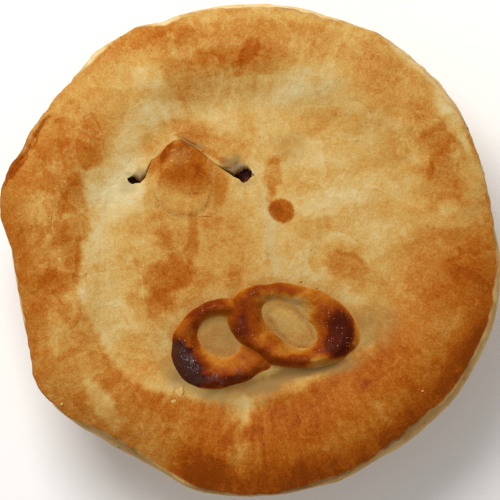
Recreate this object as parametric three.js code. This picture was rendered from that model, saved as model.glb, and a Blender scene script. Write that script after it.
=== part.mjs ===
// A round single-serving steak pie: a shortcrust case, the steak filling inside it, a puff pastry lid
// with a snipped steam vent, and two pastry rings laid over one another on the lid.
// Millimetres, +Z up, with the origin under the middle of the base and +Y towards the vent.
import * as THREE from 'three';

// Driving dimensions
const RIM_RADIUS = 59.8; // mean radius of the case's rim
const BASE_RADIUS = 44; // radius of the flat base
const CASE_HEIGHT = 30; // base to the top of the case's rim
const RIM_THICKNESS = 3.2; // height of the rim's outer edge
const RIM_OVERHANG = 4; // how far the rim stands out past the wall
const WALL = 4; // thickness of the shortcrust
const FIT = 0.3; // gap between pieces that touch
const LID_EDGE_HEIGHT = 3.6; // puff pastry at the cut edge, where it meets the case's rim
const LID_SETBACK = 0.5; // how far the lid's edge stays inside the case's rim
const LID_VALLEY = 35.2; // top of the lid round the foot of the raised border
const DOME_RISE = 1.2; // the lid's middle above that level
const BORDER_RISE = 3.3; // the crest of the puffed border above that level
const BORDER_START = 0.57; // where the border starts to rise, as a share of the lid's radius
const BORDER_CREST = 0.8; // where it is highest
const EDGE_FALL = 3.4; // from the crest down to the shoulder of the cut edge

// Hand-shaped unevenness of the outline: middle in degrees from +X, half-width in degrees, height
const RIM_BUMPS = [
  { at: 43, wide: 20, high: 1.5 },
  { at: 60, wide: 6, high: 0.5 },
  { at: 92, wide: 20, high: -0.25 },
  { at: 126, wide: 11, high: 1.1 },
  { at: 167, wide: 10, high: 2.8 },
  { at: 211, wide: 9, high: 1.9 },
  { at: 341, wide: 22, high: 1.9 },
];
// Straight stretches, where the pastry was trimmed: the way each one faces, and its distance from the middle
const RIM_FLATS = [
  { at: 190, distance: 56.8 },
  { at: 240, distance: 57.4 },
];
const FLAT_REACH = 60; // degrees to each side of the way it faces
const FLAT_ROUNDING = 0.7; // how gently a straight stretch runs into the round ones
// Places where the lid stops further inside the rim and the case shows beside it
const LID_GAPS = [
  { at: 10, wide: 14, high: 0.8 },
  { at: 90, wide: 16, high: 0.5 },
  { at: 235, wide: 8, high: 1.5 },
  { at: 312, wide: 30, high: 1.5 },
];

// Steam vent: a V snipped through the lid, open at both ends, with the tongue below it pushed up
const VENT_LEFT = new THREE.Vector2(-29.5, 17.6);
const VENT_RIGHT = new THREE.Vector2(0.8, 18.8);
const VENT_TIP_AT = -0.17; // the V's tip, from -1 at the left end to 1 at the right
const VENT_TIP_RISE = 7.6; // the tip above the line between the two ends
const SLIT_HALF_WIDTH = 0.35;
const VENT_EYES = [
  { at: -0.86, wide: 0.14, high: 2.0 },
  { at: 0.84, wide: 0.15, high: 3.6 },
];
const TONGUE_LIFT = 2.4;
const TONGUE_HALF_WIDTH = 0.42; // along the slit, on the same scale as VENT_TIP_AT
const TONGUE_REACH = 11; // how far back from the slit the lift dies away

// The two pastry rings: middle, half-lengths, turn in degrees, and the part of each ring where they cross
const RINGS = [
  {
    name: 'ring_under',
    middle: new THREE.Vector2(-5.9, -22.3),
    halfLength: 10.0,
    halfBreadth: 8.0,
    turn: 5,
    halfWidth: 3.1,
    height: 3.8,
    crossing: { at: 27, wide: 78, heightThere: 2.2, lift: 0 },
  },
  {
    name: 'ring_over',
    middle: new THREE.Vector2(10.2, -17.9),
    halfLength: 11.6,
    halfBreadth: 8.0,
    turn: -13,
    halfWidth: 3.2,
    height: 3.8,
    crossing: { at: 205, wide: 86, heightThere: 2.6, lift: 2.6 },
  },
];

// Fineness of the faceted solids
const LID_COLUMNS = 84;
const LID_TOP_ROWS = 20;
const LID_UNDER_ROWS = 6;
const ROUND_STEPS = 64;
const RING_STEPS = 40;
const RING_SIDES = 10;

// Colour and roughness of each kind of pastry and of the gravy
const SHORTCRUST = { color: 0xd8b87e, roughness: 0.8 };
const PUFF_PASTRY = { color: 0xd09a4e, roughness: 0.55 };
const RING_PASTRY = { color: 0x8e400c, roughness: 0.35 };
const STEAK_GRAVY = { color: 0x351a10, roughness: 0.3 };

const lerp = THREE.MathUtils.lerp;
const smoothstep = THREE.MathUtils.smoothstep;
const bell = (distance, width) => Math.exp(-((distance / width) ** 2));
const degreesApart = (a, b) => Math.abs(((a - b + 540) % 360) - 180);
const sumOfBumps = (bumps, degrees) =>
  bumps.reduce((sum, b) => sum + b.high * bell(degreesApart(degrees, b.at), b.wide), 0);

const inDegrees = (angle) => (THREE.MathUtils.radToDeg(angle) + 360) % 360;
const smoothMin = (a, b, rounding) => {
  const near = Math.max(0, 1 - Math.abs(a - b) / rounding);
  return Math.min(a, b) - (near ** 2 * rounding) / 4;
};

// The rim is round with bumps, cut off by the straight stretches.
function rimRadius(angle) {
  const degrees = inDegrees(angle);
  const round = RIM_RADIUS + sumOfBumps(RIM_BUMPS, degrees);
  return RIM_FLATS.reduce((radius, flat) => {
    const apart = degreesApart(degrees, flat.at);
    if (apart > FLAT_REACH) return radius;
    return smoothMin(radius, flat.distance / Math.cos(THREE.MathUtils.degToRad(apart)), FLAT_ROUNDING);
  }, round);
}
const lidRadius = (angle) =>
  rimRadius(angle) - LID_SETBACK - sumOfBumps(LID_GAPS, inDegrees(angle));

// Top of the lid without the vent's tongue: a low dome, a valley round it, then the puffed border,
// which falls again towards the cut edge.
function lidTop(x, y) {
  const share = Math.hypot(x, y) / lidRadius(Math.atan2(y, x));
  const dome = DOME_RISE * Math.max(0, 1 - (share / BORDER_START) ** 2);
  const border = BORDER_RISE * smoothstep(share, BORDER_START, BORDER_CREST);
  const fall = EDGE_FALL * Math.max(0, (share - BORDER_CREST) / (1 - BORDER_CREST)) ** 2;
  return LID_VALLEY + dome + border - fall;
}

// The underside of the lid is flat, on the case's rim and on the filling.
const LID_FOOT = CASE_HEIGHT + FIT;

// The vent's edge at a place round it. The cosine runs along the V and the sine tells the two sides apart.
function ventEdge(turn) {
  const along = Math.cos(turn);
  const side = Math.sin(turn);
  const toTip = along < VENT_TIP_AT ? VENT_TIP_AT + 1 : 1 - VENT_TIP_AT;
  const rise = VENT_TIP_RISE * (1 - Math.abs(along - VENT_TIP_AT) / toTip);
  const eyes = VENT_EYES.reduce((sum, e) => sum + e.high * bell(along - e.at, e.wide), 0);
  const middle = VENT_LEFT.clone().lerp(VENT_RIGHT, (along + 1) / 2);
  return middle.add(new THREE.Vector2(0, rise + side * (SLIT_HALF_WIDTH + eyes)));
}

// How far the tongue below the V is pushed up, at a distance back from the slit
function tongueLift(turn, distance) {
  if (Math.sin(turn) >= 0) return 0;
  const across = bell(Math.cos(turn) - VENT_TIP_AT, TONGUE_HALF_WIDTH);
  return TONGUE_LIFT * across * bell(distance, TONGUE_REACH);
}

// A closed surface through a grid of points that joins up both along the rows and along the columns
function closedGrid(rows, columns, pointAt) {
  const points = [];
  const triangles = [];
  for (let row = 0; row < rows; row++) {
    for (let column = 0; column < columns; column++) {
      points.push(...pointAt(row, column).toArray());
      const nextRow = ((row + 1) % rows) * columns;
      const nextColumn = (column + 1) % columns;
      const [a, b] = [row * columns + column, row * columns + nextColumn];
      const [c, d] = [nextRow + nextColumn, nextRow + column];
      triangles.push(a, c, b, a, d, c);
    }
  }
  const surface = new THREE.BufferGeometry();
  surface.setAttribute('position', new THREE.Float32BufferAttribute(points, 3));
  surface.setIndex(triangles);
  surface.computeVertexNormals();
  return surface;
}

// The lid is a grid round the vent. Each column starts at the vent's lower edge, climbs the cut,
// crosses the top to the rim, goes down the cut edge of the pastry and returns along the underside.
function lidGeometry() {
  const SHOULDER = 0.975; // where the top ends, as a share of the way to the cut edge
  const EDGE_MIDDLE = LID_FOOT + LID_EDGE_HEIGHT / 2;
  const rows = 1 + (LID_TOP_ROWS + 1) + 1 + LID_UNDER_ROWS;
  const pointAt = (row, column) => {
    const turn = (2 * Math.PI * column) / LID_COLUMNS;
    const vent = ventEdge(turn);
    const radius = lidRadius(turn);
    const edge = new THREE.Vector2(Math.cos(turn), Math.sin(turn)).multiplyScalar(radius);
    const reach = vent.distanceTo(edge);
    if (row === LID_TOP_ROWS + 2) return new THREE.Vector3(edge.x, edge.y, EDGE_MIDDLE);
    const onTop = row >= 1 && row <= LID_TOP_ROWS + 1;
    const rowUnder = row === 0 ? LID_UNDER_ROWS : row - (LID_TOP_ROWS + 3);
    const share = onTop
      ? (SHOULDER * (row - 1)) / LID_TOP_ROWS
      : SHOULDER * (1 - rowUnder / LID_UNDER_ROWS);
    const place = vent.clone().lerp(edge, share);
    const lift = tongueLift(turn, share * reach);
    const level = onTop ? lidTop(place.x, place.y) : LID_FOOT;
    return new THREE.Vector3(place.x, place.y, level + lift);
  };
  return closedGrid(rows, LID_COLUMNS, pointAt);
}

// A turned piece with +Z as its axis, whose outline follows the rim's unevenness more towards the top
function turnedPiece(profile) {
  const EVEN_AT_BASE = 0.25; // share of the unevenness that reaches down to the base
  const piece = new THREE.LatheGeometry(profile, ROUND_STEPS).rotateX(Math.PI / 2);
  const position = piece.getAttribute('position');
  for (let i = 0; i < position.count; i++) {
    const [x, y, z] = [position.getX(i), position.getY(i), position.getZ(i)];
    const follow = lerp(EVEN_AT_BASE, 1, Math.min(1, z / CASE_HEIGHT));
    const stretch = 1 + follow * (rimRadius(Math.atan2(y, x)) / RIM_RADIUS - 1);
    position.setXY(i, x * stretch, y * stretch);
  }
  piece.computeVertexNormals();
  return piece;
}

const wallTop = CASE_HEIGHT - RIM_THICKNESS;
const HALF_WAY = wallTop / 2;
const outerWall = (z) => lerp(BASE_RADIUS, RIM_RADIUS - RIM_OVERHANG, z / wallTop);
const innerWall = (z) => outerWall(z) - WALL;
const MOUTH_RADIUS = innerWall(wallTop);

function caseGeometry() {
  const BASE_ROUNDING = 2;
  const NECK_DEPTH = 1.5; // the wall's top starts this far below the rim
  const NECK_INSET = 0.5; // and this far inside the wall's slope
  const RIM_FILLET = 1.5; // from the wall out to the rim's underside
  const RIM_ROUNDING = 0.8; // of the rim's outer edge
  const RIM_DROOP = 0.3; // the rim's underside rises this much towards that edge
  const profile = [
    [0, 0],
    [BASE_RADIUS - BASE_ROUNDING, 0],
    [outerWall(BASE_ROUNDING), BASE_ROUNDING],
    [outerWall(HALF_WAY), HALF_WAY],
    [outerWall(wallTop) - NECK_INSET, wallTop - NECK_DEPTH],
    [outerWall(wallTop) + RIM_FILLET, wallTop],
    [RIM_RADIUS - RIM_ROUNDING, wallTop + RIM_DROOP],
    [RIM_RADIUS, wallTop + RIM_THICKNESS / 2],
    [RIM_RADIUS - RIM_ROUNDING, CASE_HEIGHT],
    [MOUTH_RADIUS, CASE_HEIGHT],
    [MOUTH_RADIUS, wallTop],
    [innerWall(HALF_WAY), HALF_WAY],
    [innerWall(WALL), WALL],
    [0, WALL],
  ];
  return turnedPiece(profile.map(([r, z]) => new THREE.Vector2(r, z)));
}

// The filling takes all the room between case and lid.
function fillingGeometry() {
  const bottom = WALL + FIT;
  const profile = [
    [0, bottom],
    [innerWall(bottom) - FIT, bottom],
    [innerWall(HALF_WAY) - FIT, HALF_WAY],
    [MOUTH_RADIUS - FIT, wallTop],
    [MOUTH_RADIUS - FIT, CASE_HEIGHT],
    [0, CASE_HEIGHT],
  ];
  return turnedPiece(profile.map(([r, z]) => new THREE.Vector2(r, z)));
}

// A strip of pastry joined into an oval ring. It is domed above and follows the lid below, is pressed
// flatter where the rings cross, and the upper ring climbs over the lower one there.
function ringGeometry(ring) {
  const SQUARENESS = 0.7; // below 1 fills the section's corners out towards a box
  const FULLY_PRESSED = 0.7; // share of the crossing's half-width that is pressed all the way
  const NOT_PRESSED = 1.3; // and the share past which the ring has its full height again
  const turned = THREE.MathUtils.degToRad(ring.turn);
  const fill = (value) => Math.sign(value) * Math.abs(value) ** SQUARENESS;
  const pointAt = (step, sideStep) => {
    const round = (2 * Math.PI * step) / RING_STEPS;
    const section = (2 * Math.PI * sideStep) / RING_SIDES;
    const outwards = new THREE.Vector2(
      Math.cos(round) * ring.halfBreadth,
      Math.sin(round) * ring.halfLength,
    ).normalize();
    const place = new THREE.Vector2(
      Math.cos(round) * ring.halfLength,
      Math.sin(round) * ring.halfBreadth,
    );
    place.addScaledVector(outwards, ring.halfWidth * fill(Math.cos(section)));
    place.rotateAround(new THREE.Vector2(), turned).add(ring.middle);
    const fromCrossing = degreesApart(inDegrees(round), ring.crossing.at) / ring.crossing.wide;
    const pressed = 1 - smoothstep(fromCrossing, FULLY_PRESSED, NOT_PRESSED);
    const height = lerp(ring.height, ring.crossing.heightThere, pressed);
    const level = (height * (1 + fill(Math.sin(section)))) / 2 + ring.crossing.lift * pressed;
    return new THREE.Vector3(place.x, place.y, lidTop(place.x, place.y) + FIT + level);
  };
  return closedGrid(RING_STEPS, RING_SIDES, pointAt);
}

function piece(name, geometry, finish) {
  const material = new THREE.MeshStandardMaterial({ ...finish, metalness: 0 });
  const mesh = new THREE.Mesh(geometry, material);
  mesh.name = name;
  return mesh;
}

const pie = new THREE.Group();
pie.add(
  piece('case', caseGeometry(), SHORTCRUST),
  piece('filling', fillingGeometry(), STEAK_GRAVY),
  piece('lid', lidGeometry(), PUFF_PASTRY),
  ...RINGS.map((ring) => piece(ring.name, ringGeometry(ring), RING_PASTRY)),
);

export default pie;
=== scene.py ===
"""A round steak pie: the baked finish of its pastry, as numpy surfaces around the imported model.

Shapes are worked out in millimetres in the pie's own frame, with +Y towards the vent, and put into
the meshes in metres.
"""
from collections import namedtuple

import bpy
import numpy as np
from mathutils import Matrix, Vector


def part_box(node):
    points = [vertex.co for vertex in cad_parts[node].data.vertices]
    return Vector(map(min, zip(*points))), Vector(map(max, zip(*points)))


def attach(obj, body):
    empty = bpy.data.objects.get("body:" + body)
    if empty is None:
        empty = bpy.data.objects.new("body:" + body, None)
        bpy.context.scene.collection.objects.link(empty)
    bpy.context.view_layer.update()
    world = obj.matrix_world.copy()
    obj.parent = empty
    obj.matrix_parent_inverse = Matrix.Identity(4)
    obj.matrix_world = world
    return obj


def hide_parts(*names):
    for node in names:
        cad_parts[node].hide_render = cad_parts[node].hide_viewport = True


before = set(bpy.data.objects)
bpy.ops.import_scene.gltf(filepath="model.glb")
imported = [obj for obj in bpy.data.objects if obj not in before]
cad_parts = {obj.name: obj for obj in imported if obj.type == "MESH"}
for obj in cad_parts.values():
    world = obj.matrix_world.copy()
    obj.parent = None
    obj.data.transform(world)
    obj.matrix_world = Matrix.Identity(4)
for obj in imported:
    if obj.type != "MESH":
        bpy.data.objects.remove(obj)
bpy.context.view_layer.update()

MM = 0.001  # metres in a millimetre
FULL_TURN = 2 * np.pi

# The photograph looks straight down, so a place on the pie is a pixel of it.
PHOTO_SIDE = 500  # pixels
PHOTO_PIXEL = 0.242  # mm of pie under one pixel
PHOTO_MIDDLE = PHOTO_SIDE / 2

# Heights and shares of the lid's top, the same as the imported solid's
LID_VALLEY = 35.2
DOME_RISE = 1.2
BORDER_RISE = 3.3
BORDER_START = 0.57
BORDER_CREST = 0.8
EDGE_FALL = 3.4

# Steam vent: a V snipped through the lid, as a course of the photograph's pixels from left to right
VENT_COURSE = [
    (128, 179),
    (141, 183),
    (146, 178),
    (149.5, 168),
    (152.5, 161),
    (161, 154),
    (167.5, 146),
    (174, 141.5),
    (181, 140),
    (197, 148.5),
    (209, 158.5),
    (222, 169),
    (234, 177),
    (254, 176),
]
SLIT_HALF_WIDTH = 0.06

Swell = namedtuple("Swell", "at wide high")  # a bell-shaped swelling: middle, half-width, height
# Where the cut gapes, along the V from -1 to 1, at its lips and at its feet, in mm. Below 0 one side
# lies under the other.
UPPER_LIP = [Swell(-0.82, 0.14, 4.8), Swell(-0.1, 0.45, -0.9), Swell(0.82, 0.23, 6.3)]
LOWER_LIP = [Swell(-0.97, 0.1, 3.2), Swell(0.86, 0.1, 3.2)]
UPPER_FOOT = [Swell(-0.97, 0.1, 2.2), Swell(-0.1, 0.45, -1.2), Swell(0.9, 0.14, 3.7)]
LOWER_FOOT = [Swell(-0.97, 0.1, 2.7), Swell(-0.1, 0.45, 1.4), Swell(0.86, 0.1, 2.9)]
FOOT_ROUGHNESS = 0.6
TONGUE_TIP_AT = -0.145
TONGUE_LIFT = 2.6
TONGUE_HALF_WIDTH = 0.42
TONGUE_REACH = 10.5


# Arithmetic on whole arrays


def smoothstep(value, low, high):
    """0 below low, 1 above high, with an S-shaped cubic between them."""
    share = np.clip((value - low) / (high - low), 0, 1)
    return share * share * (3 - 2 * share)


def bell(distance, width):
    """1 at no distance, falling off as a Gaussian of that width."""
    return np.exp(-((distance / width) ** 2))


def band(distance, width):
    """1 near no distance, falling off steeply at that width."""
    return np.exp(-((distance / width) ** 4))


def swells(places, shapes):
    """The sum of some bell-shaped swellings at these places."""
    return sum(shape.high * bell(places - shape.at, shape.wide) for shape in shapes)


def turn_between(start, end):
    """The turn from one angle to another the short way round, from -180 to 180 degrees."""
    return (end - start + 540) % 360 - 180


def swells_round(degrees, shapes):
    """The same for swellings placed by their angle round the pie."""
    return sum(shape.high * bell(turn_between(shape.at, degrees), shape.wide) for shape in shapes)


def stack(*parts):
    """Coordinates of one shape or another, spread to a common shape and put side by side."""
    return np.stack(np.broadcast_arrays(*parts), axis=-1)


def to_photo(x, y):
    """The photograph's pixel over a place on the pie."""
    return PHOTO_MIDDLE + x / PHOTO_PIXEL, PHOTO_MIDDLE - y / PHOTO_PIXEL


def from_photo(pixel_x, pixel_y):
    """The place on the pie under a pixel of the photograph."""
    return (pixel_x - PHOTO_MIDDLE) * PHOTO_PIXEL, (PHOTO_MIDDLE - pixel_y) * PHOTO_PIXEL


def round_the_pie(degrees, points, column):
    """A value known at some angles, joined by straight runs all the way round."""
    columns = np.transpose(points)
    return np.interp(degrees, columns[0], columns[column], period=360)


def along_chain(corners, shares):
    """The x and y at these shares of the length of a chain of straight runs."""
    corners = np.array(corners, float)
    run = np.concatenate([[0], np.cumsum(np.linalg.norm(np.diff(corners, axis=0), axis=1))])
    return tuple(np.interp(shares * run[-1], run, corners[:, axis]) for axis in range(2))


LATTICE = 64  # the noise repeats after this many of its cells
OCTAVE_TURN = np.array([[0.8, 0.6, 0.0], [-0.48, 0.64, 0.6], [0.36, -0.48, 0.8]])
Noise = namedtuple("Noise", "size octaves seed")  # the size is that of its widest features, in mm


def value_noise(points, seed):
    """Random heights from -1 to 1 on a unit lattice, joined by cubic fades along all three axes."""
    heights = np.random.default_rng(seed).uniform(-1, 1, (LATTICE,) * 3)
    low = np.floor(points).astype(int)
    fade = smoothstep(points - low, 0, 1)
    total = np.zeros(points.shape[:-1])
    for corner in np.ndindex(2, 2, 2):
        weight = np.prod(np.where(corner, fade, 1 - fade), axis=-1)
        total += weight * heights[tuple(np.moveaxis((low + corner) % LATTICE, -1, 0))]
    return total


def uneven(points, noise):
    """The noise at some points: wide features, plus turned copies, each half as large and as strong."""
    total = np.zeros(points.shape[:-1])
    place = points / noise.size
    for octave in range(noise.octaves):
        total += value_noise(place, noise.seed + octave) * 0.5**octave
        place = place @ OCTAVE_TURN * 2
    return total


def flakes(x, y, size, seed):
    """Cells round seeds scattered one to a square of that size: each cell's random tone from -1 to 1,
    and the distance in squares from its border, the second nearest seed's less the nearest's."""
    random = np.random.default_rng(seed)
    shift = random.uniform(0, 1, (LATTICE, LATTICE, 2))
    tones = random.uniform(-1, 1, (LATTICE, LATTICE))
    column, row = np.floor(x / size).astype(int), np.floor(y / size).astype(int)
    nearest = np.full(np.shape(x), np.inf)
    second = np.full(np.shape(x), np.inf)
    tone = np.zeros(np.shape(x))
    for step in np.ndindex(3, 3):
        square = (column + step[0] - 1) % LATTICE, (row + step[1] - 1) % LATTICE
        seed_x = column + step[0] - 1 + shift[square][..., 0]
        seed_y = row + step[1] - 1 + shift[square][..., 1]
        distance = np.hypot(x / size - seed_x, y / size - seed_y)
        closer = distance < nearest
        second = np.where(closer, nearest, np.minimum(second, distance))
        nearest = np.where(closer, distance, nearest)
        tone = np.where(closer, tones[square], tone)
    return tone, second - nearest


# Meshes


def new_piece(name, points, material, closed_rows=False, attributes=None):
    """A mesh from a grid of points (rows, columns, 3) whose columns join up round the piece. Its rows
    join up too, or else end in a pole at each end, at the mean of the first and of the last row."""
    rows, columns = points.shape[:2]
    index = np.arange(rows * columns).reshape(rows, columns)
    following = np.roll(index, -1, axis=0) if closed_rows else index[1:]
    here = index if closed_rows else index[:-1]
    square = [here, np.roll(here, -1, 1), np.roll(following, -1, 1), following]
    quads = np.stack(square, axis=-1).reshape(-1, 4)
    vertices = points.reshape(-1, 3)
    fans = np.zeros((0, 3), int)
    values = {key: value.reshape(rows * columns, -1) for key, value in (attributes or {}).items()}
    if not closed_rows:
        poles = np.array([points[0].mean(0), points[-1].mean(0)])
        first, last = len(vertices), len(vertices) + 1
        start = np.stack([np.full(columns, first), np.roll(index[0], -1), index[0]], axis=-1)
        end = np.stack([np.full(columns, last), index[-1], np.roll(index[-1], -1)], axis=-1)
        fans = np.concatenate([start, end])
        vertices = np.concatenate([vertices, poles])
        for key, value in values.items():
            values[key] = np.concatenate([value, value[:1], value[-1:]])
    triangles = np.concatenate([quads[:, [0, 1, 2]], quads[:, [0, 2, 3]], fans])
    a, b, c = (vertices[triangles[:, corner]] for corner in range(3))
    if np.einsum("ij,ij->", a, np.cross(b, c)) < 0:
        quads, fans = quads[:, ::-1], fans[:, ::-1]
    mesh = bpy.data.meshes.new(name)
    mesh.vertices.add(len(vertices))
    mesh.vertices.foreach_set("co", (vertices * MM).astype(np.float32).ravel())
    corners = np.concatenate([quads.ravel(), fans.ravel()])
    mesh.loops.add(len(corners))
    mesh.loops.foreach_set("vertex_index", corners.astype(np.int32))
    sides = np.concatenate([np.full(len(quads), 4), np.full(len(fans), 3)])
    mesh.polygons.add(len(sides))
    mesh.polygons.foreach_set("loop_start", (np.cumsum(sides) - sides).astype(np.int32))
    mesh.update(calc_edges=True)
    mesh.shade_smooth()
    for key, value in values.items():
        wide = value.shape[1] == 3
        attribute = mesh.attributes.new(key, "FLOAT_VECTOR" if wide else "FLOAT", "POINT")
        attribute.data.foreach_set("vector" if wide else "value", value.astype(np.float32).ravel())
    mesh.materials.append(material)
    piece = bpy.data.objects.new(name, mesh)
    bpy.context.scene.collection.objects.link(piece)
    return piece


def joined(name, pieces):
    """One object of several."""
    with bpy.context.temp_override(active_object=pieces[0], selected_editable_objects=pieces):
        bpy.ops.object.join()
    pieces[0].name = name
    return pieces[0]


def vertices_of(piece):
    """The vertices of an object at the origin, in millimetres."""
    points = np.zeros(len(piece.data.vertices) * 3, np.float32)
    piece.data.vertices.foreach_get("co", points)
    return points.reshape(-1, 3) / MM


LEVEL_TOLERANCE = 0.01  # mm


def outline_of(node):
    """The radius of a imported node's outermost ring of points, as a function of the angle round it."""
    points = vertices_of(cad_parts[node])
    radius = np.hypot(points[:, 0], points[:, 1])
    level = points[radius.argmax(), 2]
    ring = points[np.abs(points[:, 2] - level) < LEVEL_TOLERANCE]
    angle, first = np.unique(np.round(np.arctan2(ring[:, 1], ring[:, 0]), 4), return_index=True)
    ring_radius = np.hypot(ring[first, 0], ring[first, 1])
    return lambda turn: np.interp(turn, angle, ring_radius, period=FULL_TURN)


lid_outline = outline_of("lid")
rim_outline = outline_of("case")
LID_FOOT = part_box("lid")[0].z / MM
CASE_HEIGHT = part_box("case")[1].z / MM
FILLING_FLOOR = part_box("filling")[0].z / MM
FILLING_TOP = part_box("filling")[1].z / MM


def rim_share(x, y):
    """How far out places are, as a share of the lid's radius in their direction."""
    return np.hypot(x, y) / lid_outline(np.arctan2(y, x))


# Colour of the lid: stains and creases placed on the photograph's pixels

# An oval of deeper or paler baking, some of them painted shade and light: its middle and half-axes in
# pixels, its turn in degrees, its tone, and how soft its edge is, as a share of its size
Stain = namedtuple("Stain", "x y long wide turn tone soft")
# Where a pressed-in crease is darker, that is partly painted shade in it
Crease = namedtuple("Crease", "path wide depth tone")  # pressed in, or raised if depth is below 0

# The edge of the lid's pale middle, round a pixel: degrees from +X, radius and softness in pixels, and
# the tone of the border there
PALE_MIDDLE = (242, 248)
PALE_EDGE = [
    (0, 165, 40, 0.72),
    (20, 185, 30, 0.60),
    (45, 186, 50, 0.56),
    (60, 183, 40, 0.55),
    (80, 168, 20, 0.55),
    (100, 150, 18, 0.55),
    (112, 150, 18, 0.52),
    (125, 190, 25, 0.50),
    (138, 178, 25, 0.54),
    (147, 161, 8, 0.60),
    (150, 164, 6, 0.60),
    (154, 175, 5, 0.60),
    (162, 164, 5, 0.61),
    (173, 154, 5, 0.61),
    (181, 157, 5, 0.62),
    (190, 163, 5, 0.61),
    (197, 167, 5, 0.60),
    (209, 166, 5, 0.58),
    (226, 172, 5, 0.60),
    (233, 169, 5, 0.62),
    (240, 166, 5, 0.66),
    (247, 160, 5, 0.70),
    (260, 155, 6, 0.77),
    (272, 158, 8, 0.72),
    (286, 149, 5, 0.74),
    (302, 151, 5, 0.74),
    (313, 155, 9, 0.73),
    (322, 162, 11, 0.72),
    (331, 168, 16, 0.72),
    (338, 168, 24, 0.72),
    (347, 162, 35, 0.71),
]
MIDDLE_TONE = 0.34
# Deeper baking of the last few millimetres before the lid's edge: degrees and tone, between these shares
# of the radius
EDGE_SHARES = (0.85, 0.985)
EDGE_TONE = [
    (0, -0.02),
    (12, -0.07),
    (25, -0.08),
    (60, 0.0),
    (90, -0.04),
    (130, 0.0),
    (155, 0.0),
    (170, 0.10),
    (190, 0.10),
    (230, 0.05),
    (260, 0.14),
    (300, 0.16),
    (320, 0.20),
    (335, 0.28),
    (345, 0.18),
]
# The last two millimetres, where the wash ran thin, in the same way
FRINGE_SHARES = (0.94, 0.965)
FRINGE_TONE = [
    (5, 0.0),
    (25, -0.06),
    (58, -0.08),
    (85, -0.09),
    (108, -0.08),
    (120, 0.0),
    (200, 0.0),
]

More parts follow.
